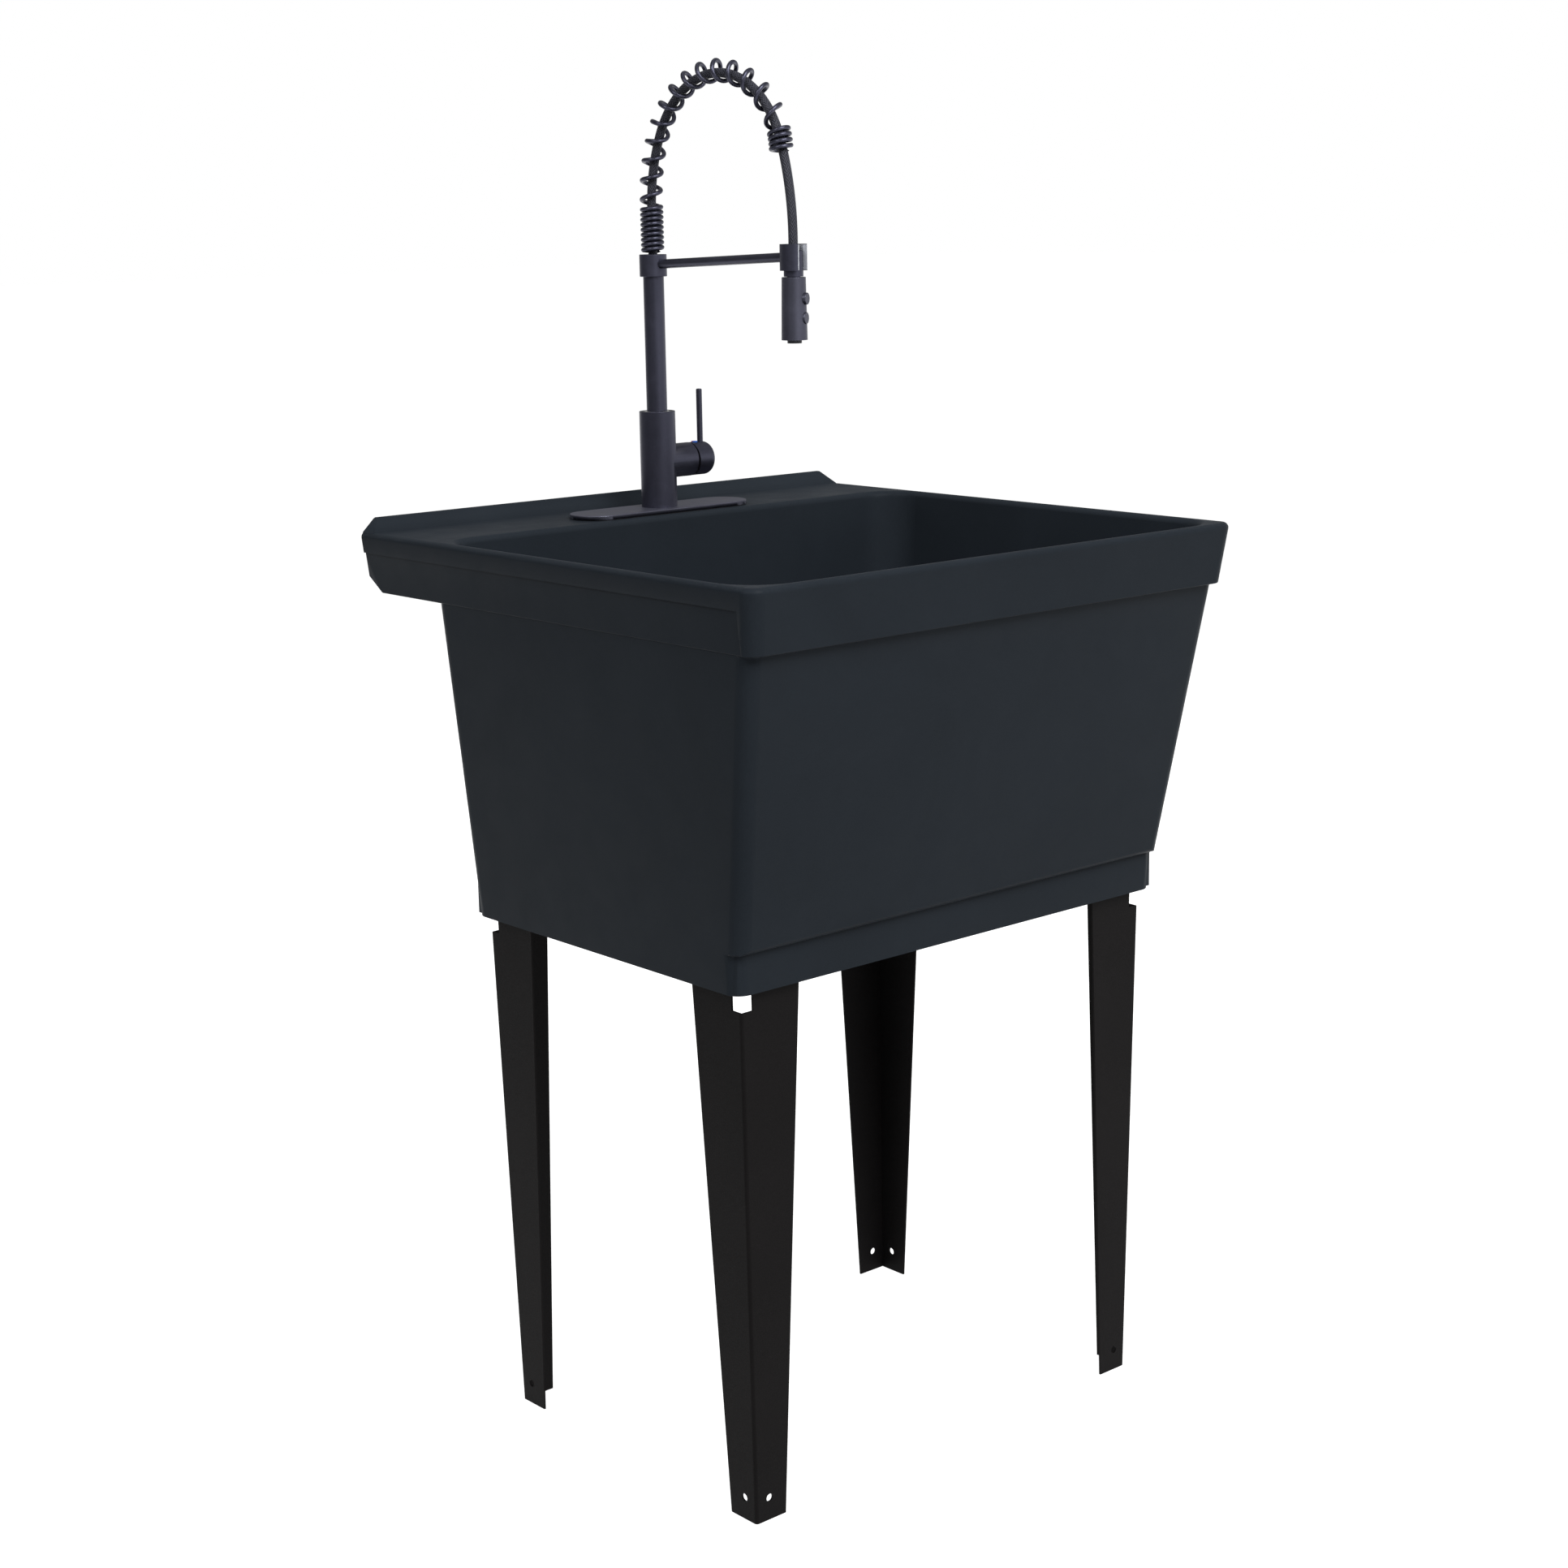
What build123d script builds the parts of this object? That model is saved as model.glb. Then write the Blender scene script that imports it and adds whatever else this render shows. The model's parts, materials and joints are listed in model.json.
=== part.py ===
from build123d import *
import math
import os

# Utility laundry sink: a moulded tub on four folded steel legs, with a drain
# and a single-lever tap whose spray head hangs from a coil-spring arch.
# Millimetres. X right, Y towards the wall, Z up. The origin is on the floor
# under the centre of the tub's rim. The user stands on the -Y side.

# ---- tub -------------------------------------------------------------------
RIM_WIDTH = 597.0
RIM_DEPTH = 570.0
RIM_HEIGHT = 857.0
RIM_CORNER_R = 15.0
LIP_WIDTH = 12.0
LIP_OUTER_R = 5.0
LIP_INNER_R = 6.0
BAND_DROP = 57.0          # height of the apron band under the rim
BAND_FLARE_X = 5.5        # how far the band leans out over its height
BAND_FLARE_Y = 8.0
BAND_REAR_LEAN = 3.0
PANEL_RECESS = 2.0        # shallow panel in each side of the band
PANEL_DROP = 19.5         # rim down to the panel's top edge
PANEL_FRONT_INSET = 21.0
BODY_TOP_INSET_X = 8.5    # body just under the band, in from the rim
BODY_TOP_INSET_FRONT = 15.5
BODY_TOP_INSET_BACK = 108.0
BODY_INSET_X = 33.5       # body at its bottom edge, in from the rim
BODY_INSET_FRONT = 67.4
BODY_INSET_BACK = 116.5
BODY_DROP = 359.0         # rim down to the body's bottom edge
BAND_EDGE_R = 1.2
SKIRT_INSET_FRONT = 68.0
LEDGE_DROP = 322.0        # rim down to where the front wall turns under to the skirt
LEDGE_R = 7.0
SKIRT_INNER_R = 6.0
SKIRT_EASE = 0.1          # so that the ledge's round crosses the walls and isn't tangent to them
WALL = 4.5
BASIN_DEPTH = 314.0
FLOOR_THICKNESS = 5.5
BASIN_TOP_INSET_BACK = 115.0
BASIN_TOP_FRONT_WALL = 12.0
BASIN_FLOOR_INSET_X = 35.5
BASIN_FLOOR_INSET_FRONT = 65.0
BASIN_FLOOR_INSET_BACK = 121.5
BASIN_TOP_R = 40.0
BASIN_FLOOR_R = 30.0
BASIN_FOOT_R = 14.0
DECK_THICKNESS = 5.0
REAR_APRON_DROP = 42.0
CHEEK_CHAMFER_Y = 20.0
CHEEK_CHAMFER_Z = 15.0
SPLASH_HEIGHT = 13.0
SPLASH_DEPTH = 17.0
SPLASH_TOP_THICKNESS = 6.0
SPLASH_END_RUN = 17.5
SUMP_R = 60.0
SUMP_FLOOR_R = 45.0
SUMP_DEPTH = 9.0
RIB_THICKNESS = 3.0
RIB_HEIGHT = 24.0

# ---- legs ------------------------------------------------------------------
LEG_STEEL = 1.9
LEG_BEND_R = 3.0
LEG_INSET_X = 10.974      # outer corner of each leg, in from the body's bottom edge
LEG_INSET_FRONT = 8.746
LEG_INSET_BACK = 7.125
LEG_LEAN_X = 8.7          # how far each corner leans over LEG_LEAN_HEIGHT
LEG_LEAN_FRONT = 4.1
LEG_LEAN_BACK = 10.0
LEG_LEAN_HEIGHT = 480.0
LEG_FOOT_FLANGE = 34.8
LEG_TOP_FLANGE = 68.7
LEG_NOTCH = 13.0
LEG_NOTCH_DROP = 18.0     # from the body's bottom edge down to the notch's foot
LEG_TOP_GAP = 0.05
FOOT_HOLE_R = 3.75
FOOT_HOLE_Z = 21.0
FOOT_HOLE_FROM_BEND = 16.0
SOCKET_CLEARANCE = 0.1
SOCKET_LENGTH = 78.0
SOCKET_FOOT_GAP = 2.0
SCREW_RISE = 20.0         # over the body's bottom edge
SCREW_FROM_BEND = 42.0
SCREW_R = 2.1
SCREW_HEAD_R = 4.2
SCREW_HEAD_HEIGHT = 2.4
SCREW_REACH = 6.6
SCREW_CLEARANCE = 0.1

# ---- drain -----------------------------------------------------------------
DRAIN_THROAT_R = 19.5
DRAIN_TUBE_R = 23.0
DRAIN_HOLE_CLEARANCE = 0.5
DRAIN_FLANGE_R = 36.5
DRAIN_FLANGE_HEIGHT = 3.0
DRAIN_TUBE_LENGTH = 35.0
DRAIN_LEDGE_DEPTH = 19.0
DRAIN_LEDGE_WIDTH = 2.0
STRAINER_THICKNESS = 2.0
STRAINER_HOLE_R = 3.2
STRAINER_RING_R = 11.5
STRAINER_HOLES = 8
STOPPER_CLEARANCE = 0.4
STOPPER_RIM_R = 24.0
STOPPER_RIM_HEIGHT = 2.6
STOPPER_PLUG_DEPTH = 13.0
STOPPER_STALK_R = 4.0
STOPPER_STALK_HEIGHT = 10.0
STOPPER_KNOB_R = 8.0
STOPPER_KNOB_HEIGHT = 4.0
DRAIN_WASHER_HEIGHT = 3.0
LOCKNUT_HEIGHT = 9.0
LOCKNUT_R = 34.0
TAILPIECE_R = 19.05
TAILPIECE_WALL = 1.6
TAILPIECE_LENGTH = 55.0
TAILPIECE_FLANGE_R = 22.4
TAILPIECE_FLANGE_HEIGHT = 2.0
TAILPIECE_ROOT_R = 20.6   # thicker stretch under the flange, inside the slip nut's lip
TAILPIECE_ROOT_HEIGHT = 5.0
SLIP_NUT_R = 27.5
SLIP_NUT_HEIGHT = 23.0
SLIP_NUT_LIP = 4.0
SLIP_NUT_RIBS = 12
FIT = 0.05                # radial clearance of pieces that stay put

# ---- tap: base -------------------------------------------------------------
TAP_FROM_WALL = 81.0
PLATE_LENGTH = 210.0
PLATE_WIDTH = 54.0
PLATE_THICKNESS = 4.0
PLATE_EDGE_R = 0.8
GASKET_THICKNESS = 0.8
GASKET_INSET = 1.0
DECK_HOLE_R = 17.5
SIDE_HOLE_R = 16.0
SIDE_HOLE_SPACING = 50.8
BASE_R = 17.8
BASE_HEIGHT = 94.4
BASE_EDGE_R = 0.6
SHANK_R = 16.0
SHANK_BORE_R = 12.2
SHANK_INSERT = 10.0
SHANK_DROP = 42.0         # below the deck's top
RUBBER_WASHER_R = 23.5
RUBBER_WASHER_HEIGHT = 3.0
STEEL_WASHER_HEIGHT = 2.0
MOUNT_NUT_FLATS = 42.0
MOUNT_NUT_HEIGHT = 9.0
INLET_R = 5.0             # supply hoses screw in here from below
INLET_SPACING = 6.0
INLET_DEPTH = 9.0
CHANNEL_R = 2.5
PORT_DROP = -6.0          # inlet ports in the hub, from its axis
PORT_SPACING = 5.5

# ---- tap: valve and lever --------------------------------------------------
HUB_RISE = 44.2           # over the deck plate
HUB_R = 16.7
HUB_END_X = 38.6
HUB_BORE_R = 13.5
HUB_BORE_START = 14.0
CARTRIDGE_LENGTH = 16.0
RETAINER_INNER_R = 9.6
RETAINER_SETBACK = 0.4
RUN_CLEARANCE = 0.1       # radial clearance of turning and sliding fits
FREE_GAP = 0.3            # gap between faces that move past each other
CARRIER_LENGTH = 4.6
CARRIER_SLOT_HALF = 4.5
STEM_R = 3.5
STEM_END_X = 52.0
PIVOT_X = 33.0
PIVOT_PIN_R = 1.2
PIVOT_PIN_HALF = 8.2
STEM_TAIL = 1.6
CAP_R = 16.5
CAP_END_X = 63.0
CAP_FACE_TOP_X = 40.2
CAP_FACE_BOTTOM_X = 42.2
CAP_DOME_R = 7.0
CAP_CAVITY_R = 13.0
CAP_CAVITY_END = 48.5
CAP_SOCKET_END = 52.4
LEVER_X = 54.0
LEVER_R = 2.95
LEVER_RISE = 69.0         # over the hub's axis
LEVER_ROOT = 8.0
LEVER_TIP_R = 1.2
SET_SCREW_X = 46.5
SET_SCREW_R = 2.0
SET_SCREW_LENGTH = 6.0
INDEX_R = 3.2
INDEX_STAND = 0.9
INDEX_DEPTH = 3.4

# ---- tap: riser, arm and spray ---------------------------------------------
RISER_R = 10.15
RISER_BORE_R = 7.5
RISER_INSERT = 34.0
BUSHING_R = 12.9
BUSHING_LENGTH = 20.0
ORING_R = 0.8
ORING_HEIGHTS = (4.0, 9.0)
COLLAR_R = 13.4
COLLAR_RISE = 225.2       # over the deck plate
COLLAR_HEIGHT = 21.3
COLLAR_CAP = 4.0
COLLAR_SCREW_R = 1.6
ARM_R = 4.4
ARM_RISE = 12.0           # root of the arm, over the collar's foot
ARM_COLLAR_INSERT = 2.6
ARM_RING_INSERT = 2.0
RING_R = 12.7
RING_HEIGHT = 24.0
RING_RISE = 7.4           # middle of the ring, over the arm's root
RING_GAP = 14.6
RING_TURN = 14.0          # degrees that the ring's gap is turned towards +X
LINER_THICKNESS = 0.65
LIP_THICKNESS = 0.7
LINER_INSET = 0.6
HOSE_R = 4.4
HOSE_GUIDE_CLEARANCE = 0.3
HOSE_INSERT = 40.0
FERRULE_LENGTH = 30.0
HOSE_END_RISE = 7.0       # over the neck's lower edge
ARCH_RISE = 42.9          # straight stretch over the collar
ARCH_FIRST_R = 161.4
ARCH_FIRST_TURN = 25.7
ARCH_TOP_R = 95.8
ARCH_TOP_TURN = 135.3
ARCH_LAST_R = 271.0
ARCH_LAST_TURN = 19.0
SPRING_WIRE_R = 2.15
SPRING_MEAN_R = 9.35
SPRING_START = 2.4
SPRING_RISE = 53.8        # the spring's own line lies a little outside the hose's
SPRING_FIRST_R = 139.0
SPRING_FIRST_TURN = 24.5
SPRING_TOP_R = 98.8
SPRING_TOP_TURN = 114.9
SPRING_LAST_R = 66.0
SPRING_LAST_TURN = 45.0
SPRING_TIGHT_PITCH = 4.8
SPRING_TIGHT_TURNS = 9
SPRING_OPEN_TURNS = 14
SPRING_OPEN_PITCH = 17.2  # first open turn
SPRING_WIDE_PITCH = 24.4  # last open turn
SPRING_END_TURNS = 4
POINTS_PER_TURN = 12
NECK_R = 9.15
NECK_TOP_DROP = 5.5       # from the ring's top edge
HEAD_DROP = 5.9           # from the ring's lower edge
NECK_GAP = 0.5
NECK_SPIGOT_R = 6.0
NECK_SPIGOT_LENGTH = 12.0
HEAD_TOP_R = 11.2
HEAD_BOTTOM_R = 12.15
HEAD_HEIGHT = 57.3
HEAD_TURN = 26.0          # degrees that the buttons are turned towards +X
HEAD_CHAMBER_R = 8.6
HEAD_CHAMBER_DROP = 15.6
HEAD_EDGE_R = 0.5
FACE_R = 11.0
FACE_THICKNESS = 3.6
FACE_SETBACK = 0.4
FACE_JETS = 16
FACE_JET_R = 0.6
FACE_JET_RING_R = 9.0
NOZZLE_R = 6.75
NOZZLE_BORE_R = 5.2
NOZZLE_STAND = 3.0
BUTTON_R = 5.5
BUTTON_LENGTH = 7.0
SPRAY_BUTTON_DROP = 19.6  # below the head's top
SPRAY_BUTTON_STAND = 1.5
PAUSE_BUTTON_DROP = 37.3
PAUSE_BUTTON_STAND = 0.6
BUTTON_EDGE_R = 0.7

# ---- places worked out from the sizes above --------------------------------
HALF_X = RIM_WIDTH / 2
HALF_Y = RIM_DEPTH / 2
BAND_BOTTOM_Z = RIM_HEIGHT - BAND_DROP
DECK_UNDER_Z = RIM_HEIGHT - DECK_THICKNESS
BODY_TOP_HALF_X = HALF_X - BODY_TOP_INSET_X
BODY_TOP_FRONT = HALF_Y - BODY_TOP_INSET_FRONT
BODY_TOP_BACK = HALF_Y - BODY_TOP_INSET_BACK
BODY_HALF_X = HALF_X - BODY_INSET_X
BODY_FRONT = HALF_Y - BODY_INSET_FRONT
BODY_BACK = HALF_Y - BODY_INSET_BACK
BODY_BOTTOM_Z = RIM_HEIGHT - BODY_DROP
SKIRT_FRONT = HALF_Y - SKIRT_INSET_FRONT
LEDGE_Z = RIM_HEIGHT - LEDGE_DROP
FLOOR_TOP_Z = RIM_HEIGHT - BASIN_DEPTH
BASIN_TOP_BACK = HALF_Y - BASIN_TOP_INSET_BACK
BASIN_FLOOR_HALF_X = HALF_X - BASIN_FLOOR_INSET_X
BASIN_FLOOR_FRONT = HALF_Y - BASIN_FLOOR_INSET_FRONT
BASIN_FLOOR_BACK = HALF_Y - BASIN_FLOOR_INSET_BACK
LEG_FOOT_X = BODY_HALF_X - LEG_INSET_X - LEG_LEAN_X * BODY_BOTTOM_Z / LEG_LEAN_HEIGHT
LEG_FOOT_FRONT = BODY_FRONT - LEG_INSET_FRONT - LEG_LEAN_FRONT * BODY_BOTTOM_Z / LEG_LEAN_HEIGHT
LEG_FOOT_BACK = BODY_BACK - LEG_INSET_BACK - LEG_LEAN_BACK * BODY_BOTTOM_Z / LEG_LEAN_HEIGHT
LEG_NOTCH_Z = BODY_BOTTOM_Z - LEG_NOTCH_DROP
SCREW_Z = BODY_BOTTOM_Z + SCREW_RISE
FLOOR_UNDER_Z = FLOOR_TOP_Z - FLOOR_THICKNESS
SUMP_FLOOR_Z = FLOOR_TOP_Z - SUMP_DEPTH
SUMP_UNDER_Z = SUMP_FLOOR_Z - FLOOR_THICKNESS
TAP_Y = HALF_Y - TAP_FROM_WALL
PLATE_TOP_Z = RIM_HEIGHT + GASKET_THICKNESS + PLATE_THICKNESS
BASE_TOP_Z = PLATE_TOP_Z + BASE_HEIGHT
HUB_Z = PLATE_TOP_Z + HUB_RISE
LEVER_TOP_Z = HUB_Z + LEVER_RISE
COLLAR_Z = PLATE_TOP_Z + COLLAR_RISE
ARM_Z = COLLAR_Z + ARM_RISE
RING_MID_Z = ARM_Z + RING_RISE
NECK_TOP_Z = RING_MID_Z + RING_HEIGHT / 2 - NECK_TOP_DROP
HEAD_TOP_Z = RING_MID_Z - RING_HEIGHT / 2 - HEAD_DROP
HEAD_BOTTOM_Z = HEAD_TOP_Z - HEAD_HEIGHT
HEAD_CHAMBER_TOP = HEAD_TOP_Z - HEAD_CHAMBER_DROP
HOSE_END_Z = HEAD_TOP_Z + NECK_GAP + HOSE_END_RISE
SPRAY_BUTTON_Z = HEAD_TOP_Z - SPRAY_BUTTON_DROP
PAUSE_BUTTON_Z = HEAD_TOP_Z - PAUSE_BUTTON_DROP
COLLAR_TOP_Z = COLLAR_Z + COLLAR_HEIGHT
RISER_TOP_Z = COLLAR_TOP_Z - COLLAR_CAP - FIT
RING_BORE_R = NECK_R + RUN_CLEARANCE
RETAINER_END_X = HUB_END_X - RETAINER_SETBACK
CARRIER_START_X = HUB_BORE_START + CARTRIDGE_LENGTH + FREE_GAP
ARCH = (
    (None, ARCH_RISE),
    (ARCH_FIRST_R, ARCH_FIRST_TURN),
    (ARCH_TOP_R, ARCH_TOP_TURN),
    (ARCH_LAST_R, ARCH_LAST_TURN),
)
SPRING_LINE = (
    (None, SPRING_RISE),
    (SPRING_FIRST_R, SPRING_FIRST_TURN),
    (SPRING_TOP_R, SPRING_TOP_TURN),
    (SPRING_LAST_R, SPRING_LAST_TURN),
)


def arch_point(distance, line=ARCH):
    """Place and heading at a distance along the arch: y, z and the angle turned."""
    y = TAP_Y
    z = COLLAR_TOP_Z
    heading = 0.0
    for radius, size in line:
        if radius is None:
            step = min(distance, size)
            y = y - math.sin(heading) * step
            z = z + math.cos(heading) * step
            distance = distance - step
        else:
            step = min(distance, radius * math.radians(size))
            centre_y = y - radius * math.cos(heading)
            centre_z = z - radius * math.sin(heading)
            heading = heading + step / radius
            y = centre_y + radius * math.cos(heading)
            z = centre_z + radius * math.sin(heading)
            distance = distance - step
        if distance <= 0:
            break
    return y, z, heading


def arch_length():
    """Length of the arch from the collar to where it hangs straight down."""
    total = 0.0
    for radius, size in ARCH:
        total = total + (size if radius is None else radius * math.radians(size))
    return total


SPRAY_Y = arch_point(arch_length())[0]
ARCH_END_Z = arch_point(arch_length())[1]


def tube_z(outer_r, inner_r, z0, z1):
    """Upright tube about the Z axis between two heights."""
    middle = (z0 + z1) / 2
    body = Pos(0, 0, middle) * Cylinder(outer_r, z1 - z0)
    if inner_r > 0:
        body = body - Pos(0, 0, middle) * Cylinder(inner_r, z1 - z0 + 1)
    return body


def rod_x(radius, x0, x1, z=0.0):
    """Solid rod along X between two places."""
    return Pos((x0 + x1) / 2, 0, z) * Rot(0, 90, 0) * Cylinder(radius, x1 - x0)


def rod_y(radius, y0, y1, z=0.0):
    """Solid rod along Y between two places."""
    return Pos(0, (y0 + y1) / 2, z) * Rot(90, 0, 0) * Cylinder(radius, y1 - y0)


def block(x0, x1, y0, y1, z0, z1):
    """Box between two corners."""
    place = Pos((x0 + x1) / 2, (y0 + y1) / 2, (z0 + z1) / 2)
    return place * Box(x1 - x0, y1 - y0, z1 - z0)


def prism_x(points, half_length):
    """Outline in Y and Z, drawn out along X to both sides."""
    outline = Plane.YZ * make_face(Polyline(*points, close=True))
    return extrude(outline, half_length, both=True)


def plan_rect(half_x, front, back, radius, z):
    """Rounded rectangle at a height, from y = -front to y = back."""
    shape = RectangleRounded(2 * half_x, front + back, radius)
    return Pos(0, (back - front) / 2, z) * shape


def band_outline(half_x, front, back, z):
    """Plan of the apron band: rounded in front, square at the wall."""
    shape = make_face(
        Polyline(
            (-half_x, back), (-half_x, -front), (half_x, -front), (half_x, back), close=True
        )
    )
    corners = shape.vertices().filter_by(lambda v: v.Y < 0)
    return Pos(0, 0, z) * fillet(corners, RIM_CORNER_R)


# ---- tub -------------------------------------------------------------------


def tub_band():
    """Flared apron band with its recessed side panels."""

    def flared(inset):
        low = band_outline(
            HALF_X - BAND_FLARE_X - inset,
            HALF_Y - BAND_FLARE_Y,
            HALF_Y - BAND_REAR_LEAN,
            BAND_BOTTOM_Z,
        )
        high = band_outline(HALF_X - inset, HALF_Y, HALF_Y, RIM_HEIGHT)
        shape = loft([low, high], ruled=True)
        return fillet(shape.edges().group_by(Axis.Z)[0], BAND_EDGE_R)

    band = flared(0.0)
    inner = flared(PANEL_RECESS)
    panel_top = RIM_HEIGHT - PANEL_DROP
    reach = HALF_X + 10
    panel_front = -HALF_Y + PANEL_FRONT_INSET
    panels = block(-reach, reach, panel_front, HALF_Y + 10, BAND_BOTTOM_Z - 1, panel_top)
    return band - (panels - inner)


def tub_body():
    """Tapered body under the band, with the front ledge cut back to the skirt."""
    low = plan_rect(BODY_HALF_X, BODY_FRONT, BODY_BACK, RIM_CORNER_R, BODY_BOTTOM_Z)
    high = plan_rect(
        BODY_TOP_HALF_X, BODY_TOP_FRONT, BODY_TOP_BACK, RIM_CORNER_R, BAND_BOTTOM_Z
    )
    body = loft([low, high], ruled=True)
    slope = (BODY_TOP_FRONT - BODY_FRONT) / (BAND_BOTTOM_Z - BODY_BOTTOM_Z)
    lean = math.atan(slope)
    centre_z = LEDGE_Z + LEDGE_R
    wall_z = centre_z - LEDGE_R * math.sin(lean)
    wall_y = -BODY_FRONT - slope * (wall_z - BODY_BOTTOM_Z) - SKIRT_EASE
    centre_y = wall_y + LEDGE_R * math.cos(lean)
    half_turn = math.radians(45) + lean / 2
    middle = (
        centre_y - LEDGE_R * math.sin(half_turn),
        centre_z - LEDGE_R * math.cos(half_turn),
    )
    under = BODY_BOTTOM_Z - 5
    round_under = ThreePointArc((wall_y, wall_z), middle, (centre_y, LEDGE_Z))
    rest = Polyline(
        (centre_y, LEDGE_Z),
        (-SKIRT_FRONT, LEDGE_Z),
        (-SKIRT_FRONT, under),
        (-HALF_Y, under),
        (-HALF_Y, wall_z),
        (wall_y, wall_z),
    )
    cutter = extrude(Plane.YZ * make_face([round_under, rest]), HALF_X + 10, both=True)
    corners = block(-HALF_X, HALF_X, -HALF_Y, 0, under, LEDGE_Z) - skirt_outline()
    return body - cutter - corners


def skirt_outline():
    """Room of the skirt under the ledge: its front corners are as round as the rim's."""
    share = (LEDGE_Z - BODY_BOTTOM_Z) / (BAND_BOTTOM_Z - BODY_BOTTOM_Z)
    low_x = BODY_HALF_X + SKIRT_EASE
    high_x = low_x + share * (BODY_TOP_HALF_X - BODY_HALF_X)
    low = plan_rect(low_x, SKIRT_FRONT, HALF_Y, RIM_CORNER_R, BODY_BOTTOM_Z)
    high = plan_rect(high_x, SKIRT_FRONT, HALF_Y, RIM_CORNER_R, LEDGE_Z)
    return loft([low, high], ruled=True)


def leg_lean(side_y):
    """Lean of a leg towards the tub's corner, in degrees about X and Y."""
    lean_y = LEG_LEAN_FRONT if side_y < 0 else LEG_LEAN_BACK
    tilt_x = math.degrees(math.atan2(lean_y, LEG_LEAN_HEIGHT))
    tilt_y = math.degrees(math.atan2(LEG_LEAN_X, LEG_LEAN_HEIGHT))
    return tilt_x, tilt_y


def at_corner(shape, side_x, side_y):
    """Put a shape drawn with its bend at the origin, inside +X +Y, on a corner."""
    tilt_x, tilt_y = leg_lean(side_y)
    foot_y = LEG_FOOT_FRONT if side_y < 0 else LEG_FOOT_BACK
    leaned = Rot(tilt_x, -tilt_y, 0) * shape
    placed = Pos(-LEG_FOOT_X, -foot_y, 0) * leaned
    if side_x > 0:
        placed = mirror(placed, Plane.YZ)
    if side_y > 0:
        placed = mirror(placed, Plane.XZ)
    return placed


def leg_space():
    """Room that a leg takes up, inside the planes of its outer faces."""
    reach = 1.5 * LEG_TOP_FLANGE
    top = FLOOR_UNDER_Z + 10
    space = block(-SOCKET_CLEARANCE, reach, -SOCKET_CLEARANCE, reach, BODY_BOTTOM_Z - 10, top)
    post = LEG_NOTCH - SOCKET_CLEARANCE
    notch = block(-1, post, -1, post, BODY_BOTTOM_Z - 10, top)
    return space - notch


def leg_sockets():
    """Pads in the skirt's corners that the legs stand against."""
    pads = []
    for side_x in (-1, 1):
        for side_y in (-1, 1):
            edge_y = SKIRT_FRONT if side_y < 0 else BODY_BACK
            near_x = BODY_HALF_X - WALL / 2
            near_y = edge_y - WALL / 2
            xs = sorted((side_x * (near_x - SOCKET_LENGTH), side_x * near_x))
            ys = sorted((side_y * (near_y - SOCKET_LENGTH), side_y * near_y))
            pad = block(*xs, *ys, BODY_BOTTOM_Z + SOCKET_FOOT_GAP, FLOOR_UNDER_Z + 1)
            pads.append(pad - at_corner(leg_space(), side_x, side_y))
    return pads


def screw_places():
    """Frames of the two screws of a leg, drawn with the bend at the origin."""
    inner = LEG_STEEL
    return (
        Pos(inner, SCREW_FROM_BEND, SCREW_Z) * Rot(0, -90, 0),
        Pos(SCREW_FROM_BEND, inner, SCREW_Z) * Rot(90, 0, 0),
    )


def under_ribs():
    """Stiffening ribs under the basin floor, out from the drain boss."""
    z0 = FLOOR_UNDER_Z - RIB_HEIGHT
    z1 = FLOOR_UNDER_Z + 1
    half = RIB_THICKNESS / 2
    side = BODY_HALF_X - WALL / 2
    ribs = block(-side, side, -half, half, z0, z1)
    ribs = ribs + block(-half, half, -SKIRT_FRONT + WALL / 2, BODY_BACK - WALL / 2, z0, z1)
    return ribs - tube_z(SUMP_R - 4, 0, z0 - 1, z1)


def backsplash():
    """Low upstand along the wall, sloped in front and cut off at its ends."""
    top = RIM_HEIGHT + SPLASH_HEIGHT
    sunk = RIM_HEIGHT - DECK_THICKNESS / 2
    slab = prism_x(
        (
            (HALF_Y - SPLASH_DEPTH, sunk),
            (HALF_Y - SPLASH_DEPTH, RIM_HEIGHT),
            (HALF_Y - SPLASH_TOP_THICKNESS, top),
            (HALF_Y, top),
            (HALF_Y, sunk),
        ),
        HALF_X - LIP_OUTER_R / 2,
    )
    slab = fillet(slab.edges().filter_by(Axis.X).group_by(Axis.Z)[-1], 1.8)
    for side in (-1, 1):
        cut = make_face(
            Polyline(
                (side * (HALF_X - SPLASH_END_RUN), top + 1),
                (side * (HALF_X + 20), top + 1),
                (side * (HALF_X + 20), RIM_HEIGHT),
                (side * (HALF_X - LIP_OUTER_R / 2), RIM_HEIGHT),
                close=True,
            )
        )
        slab = slab - extrude(Plane.XZ * cut, -HALF_Y - 10)
    return slab


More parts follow.
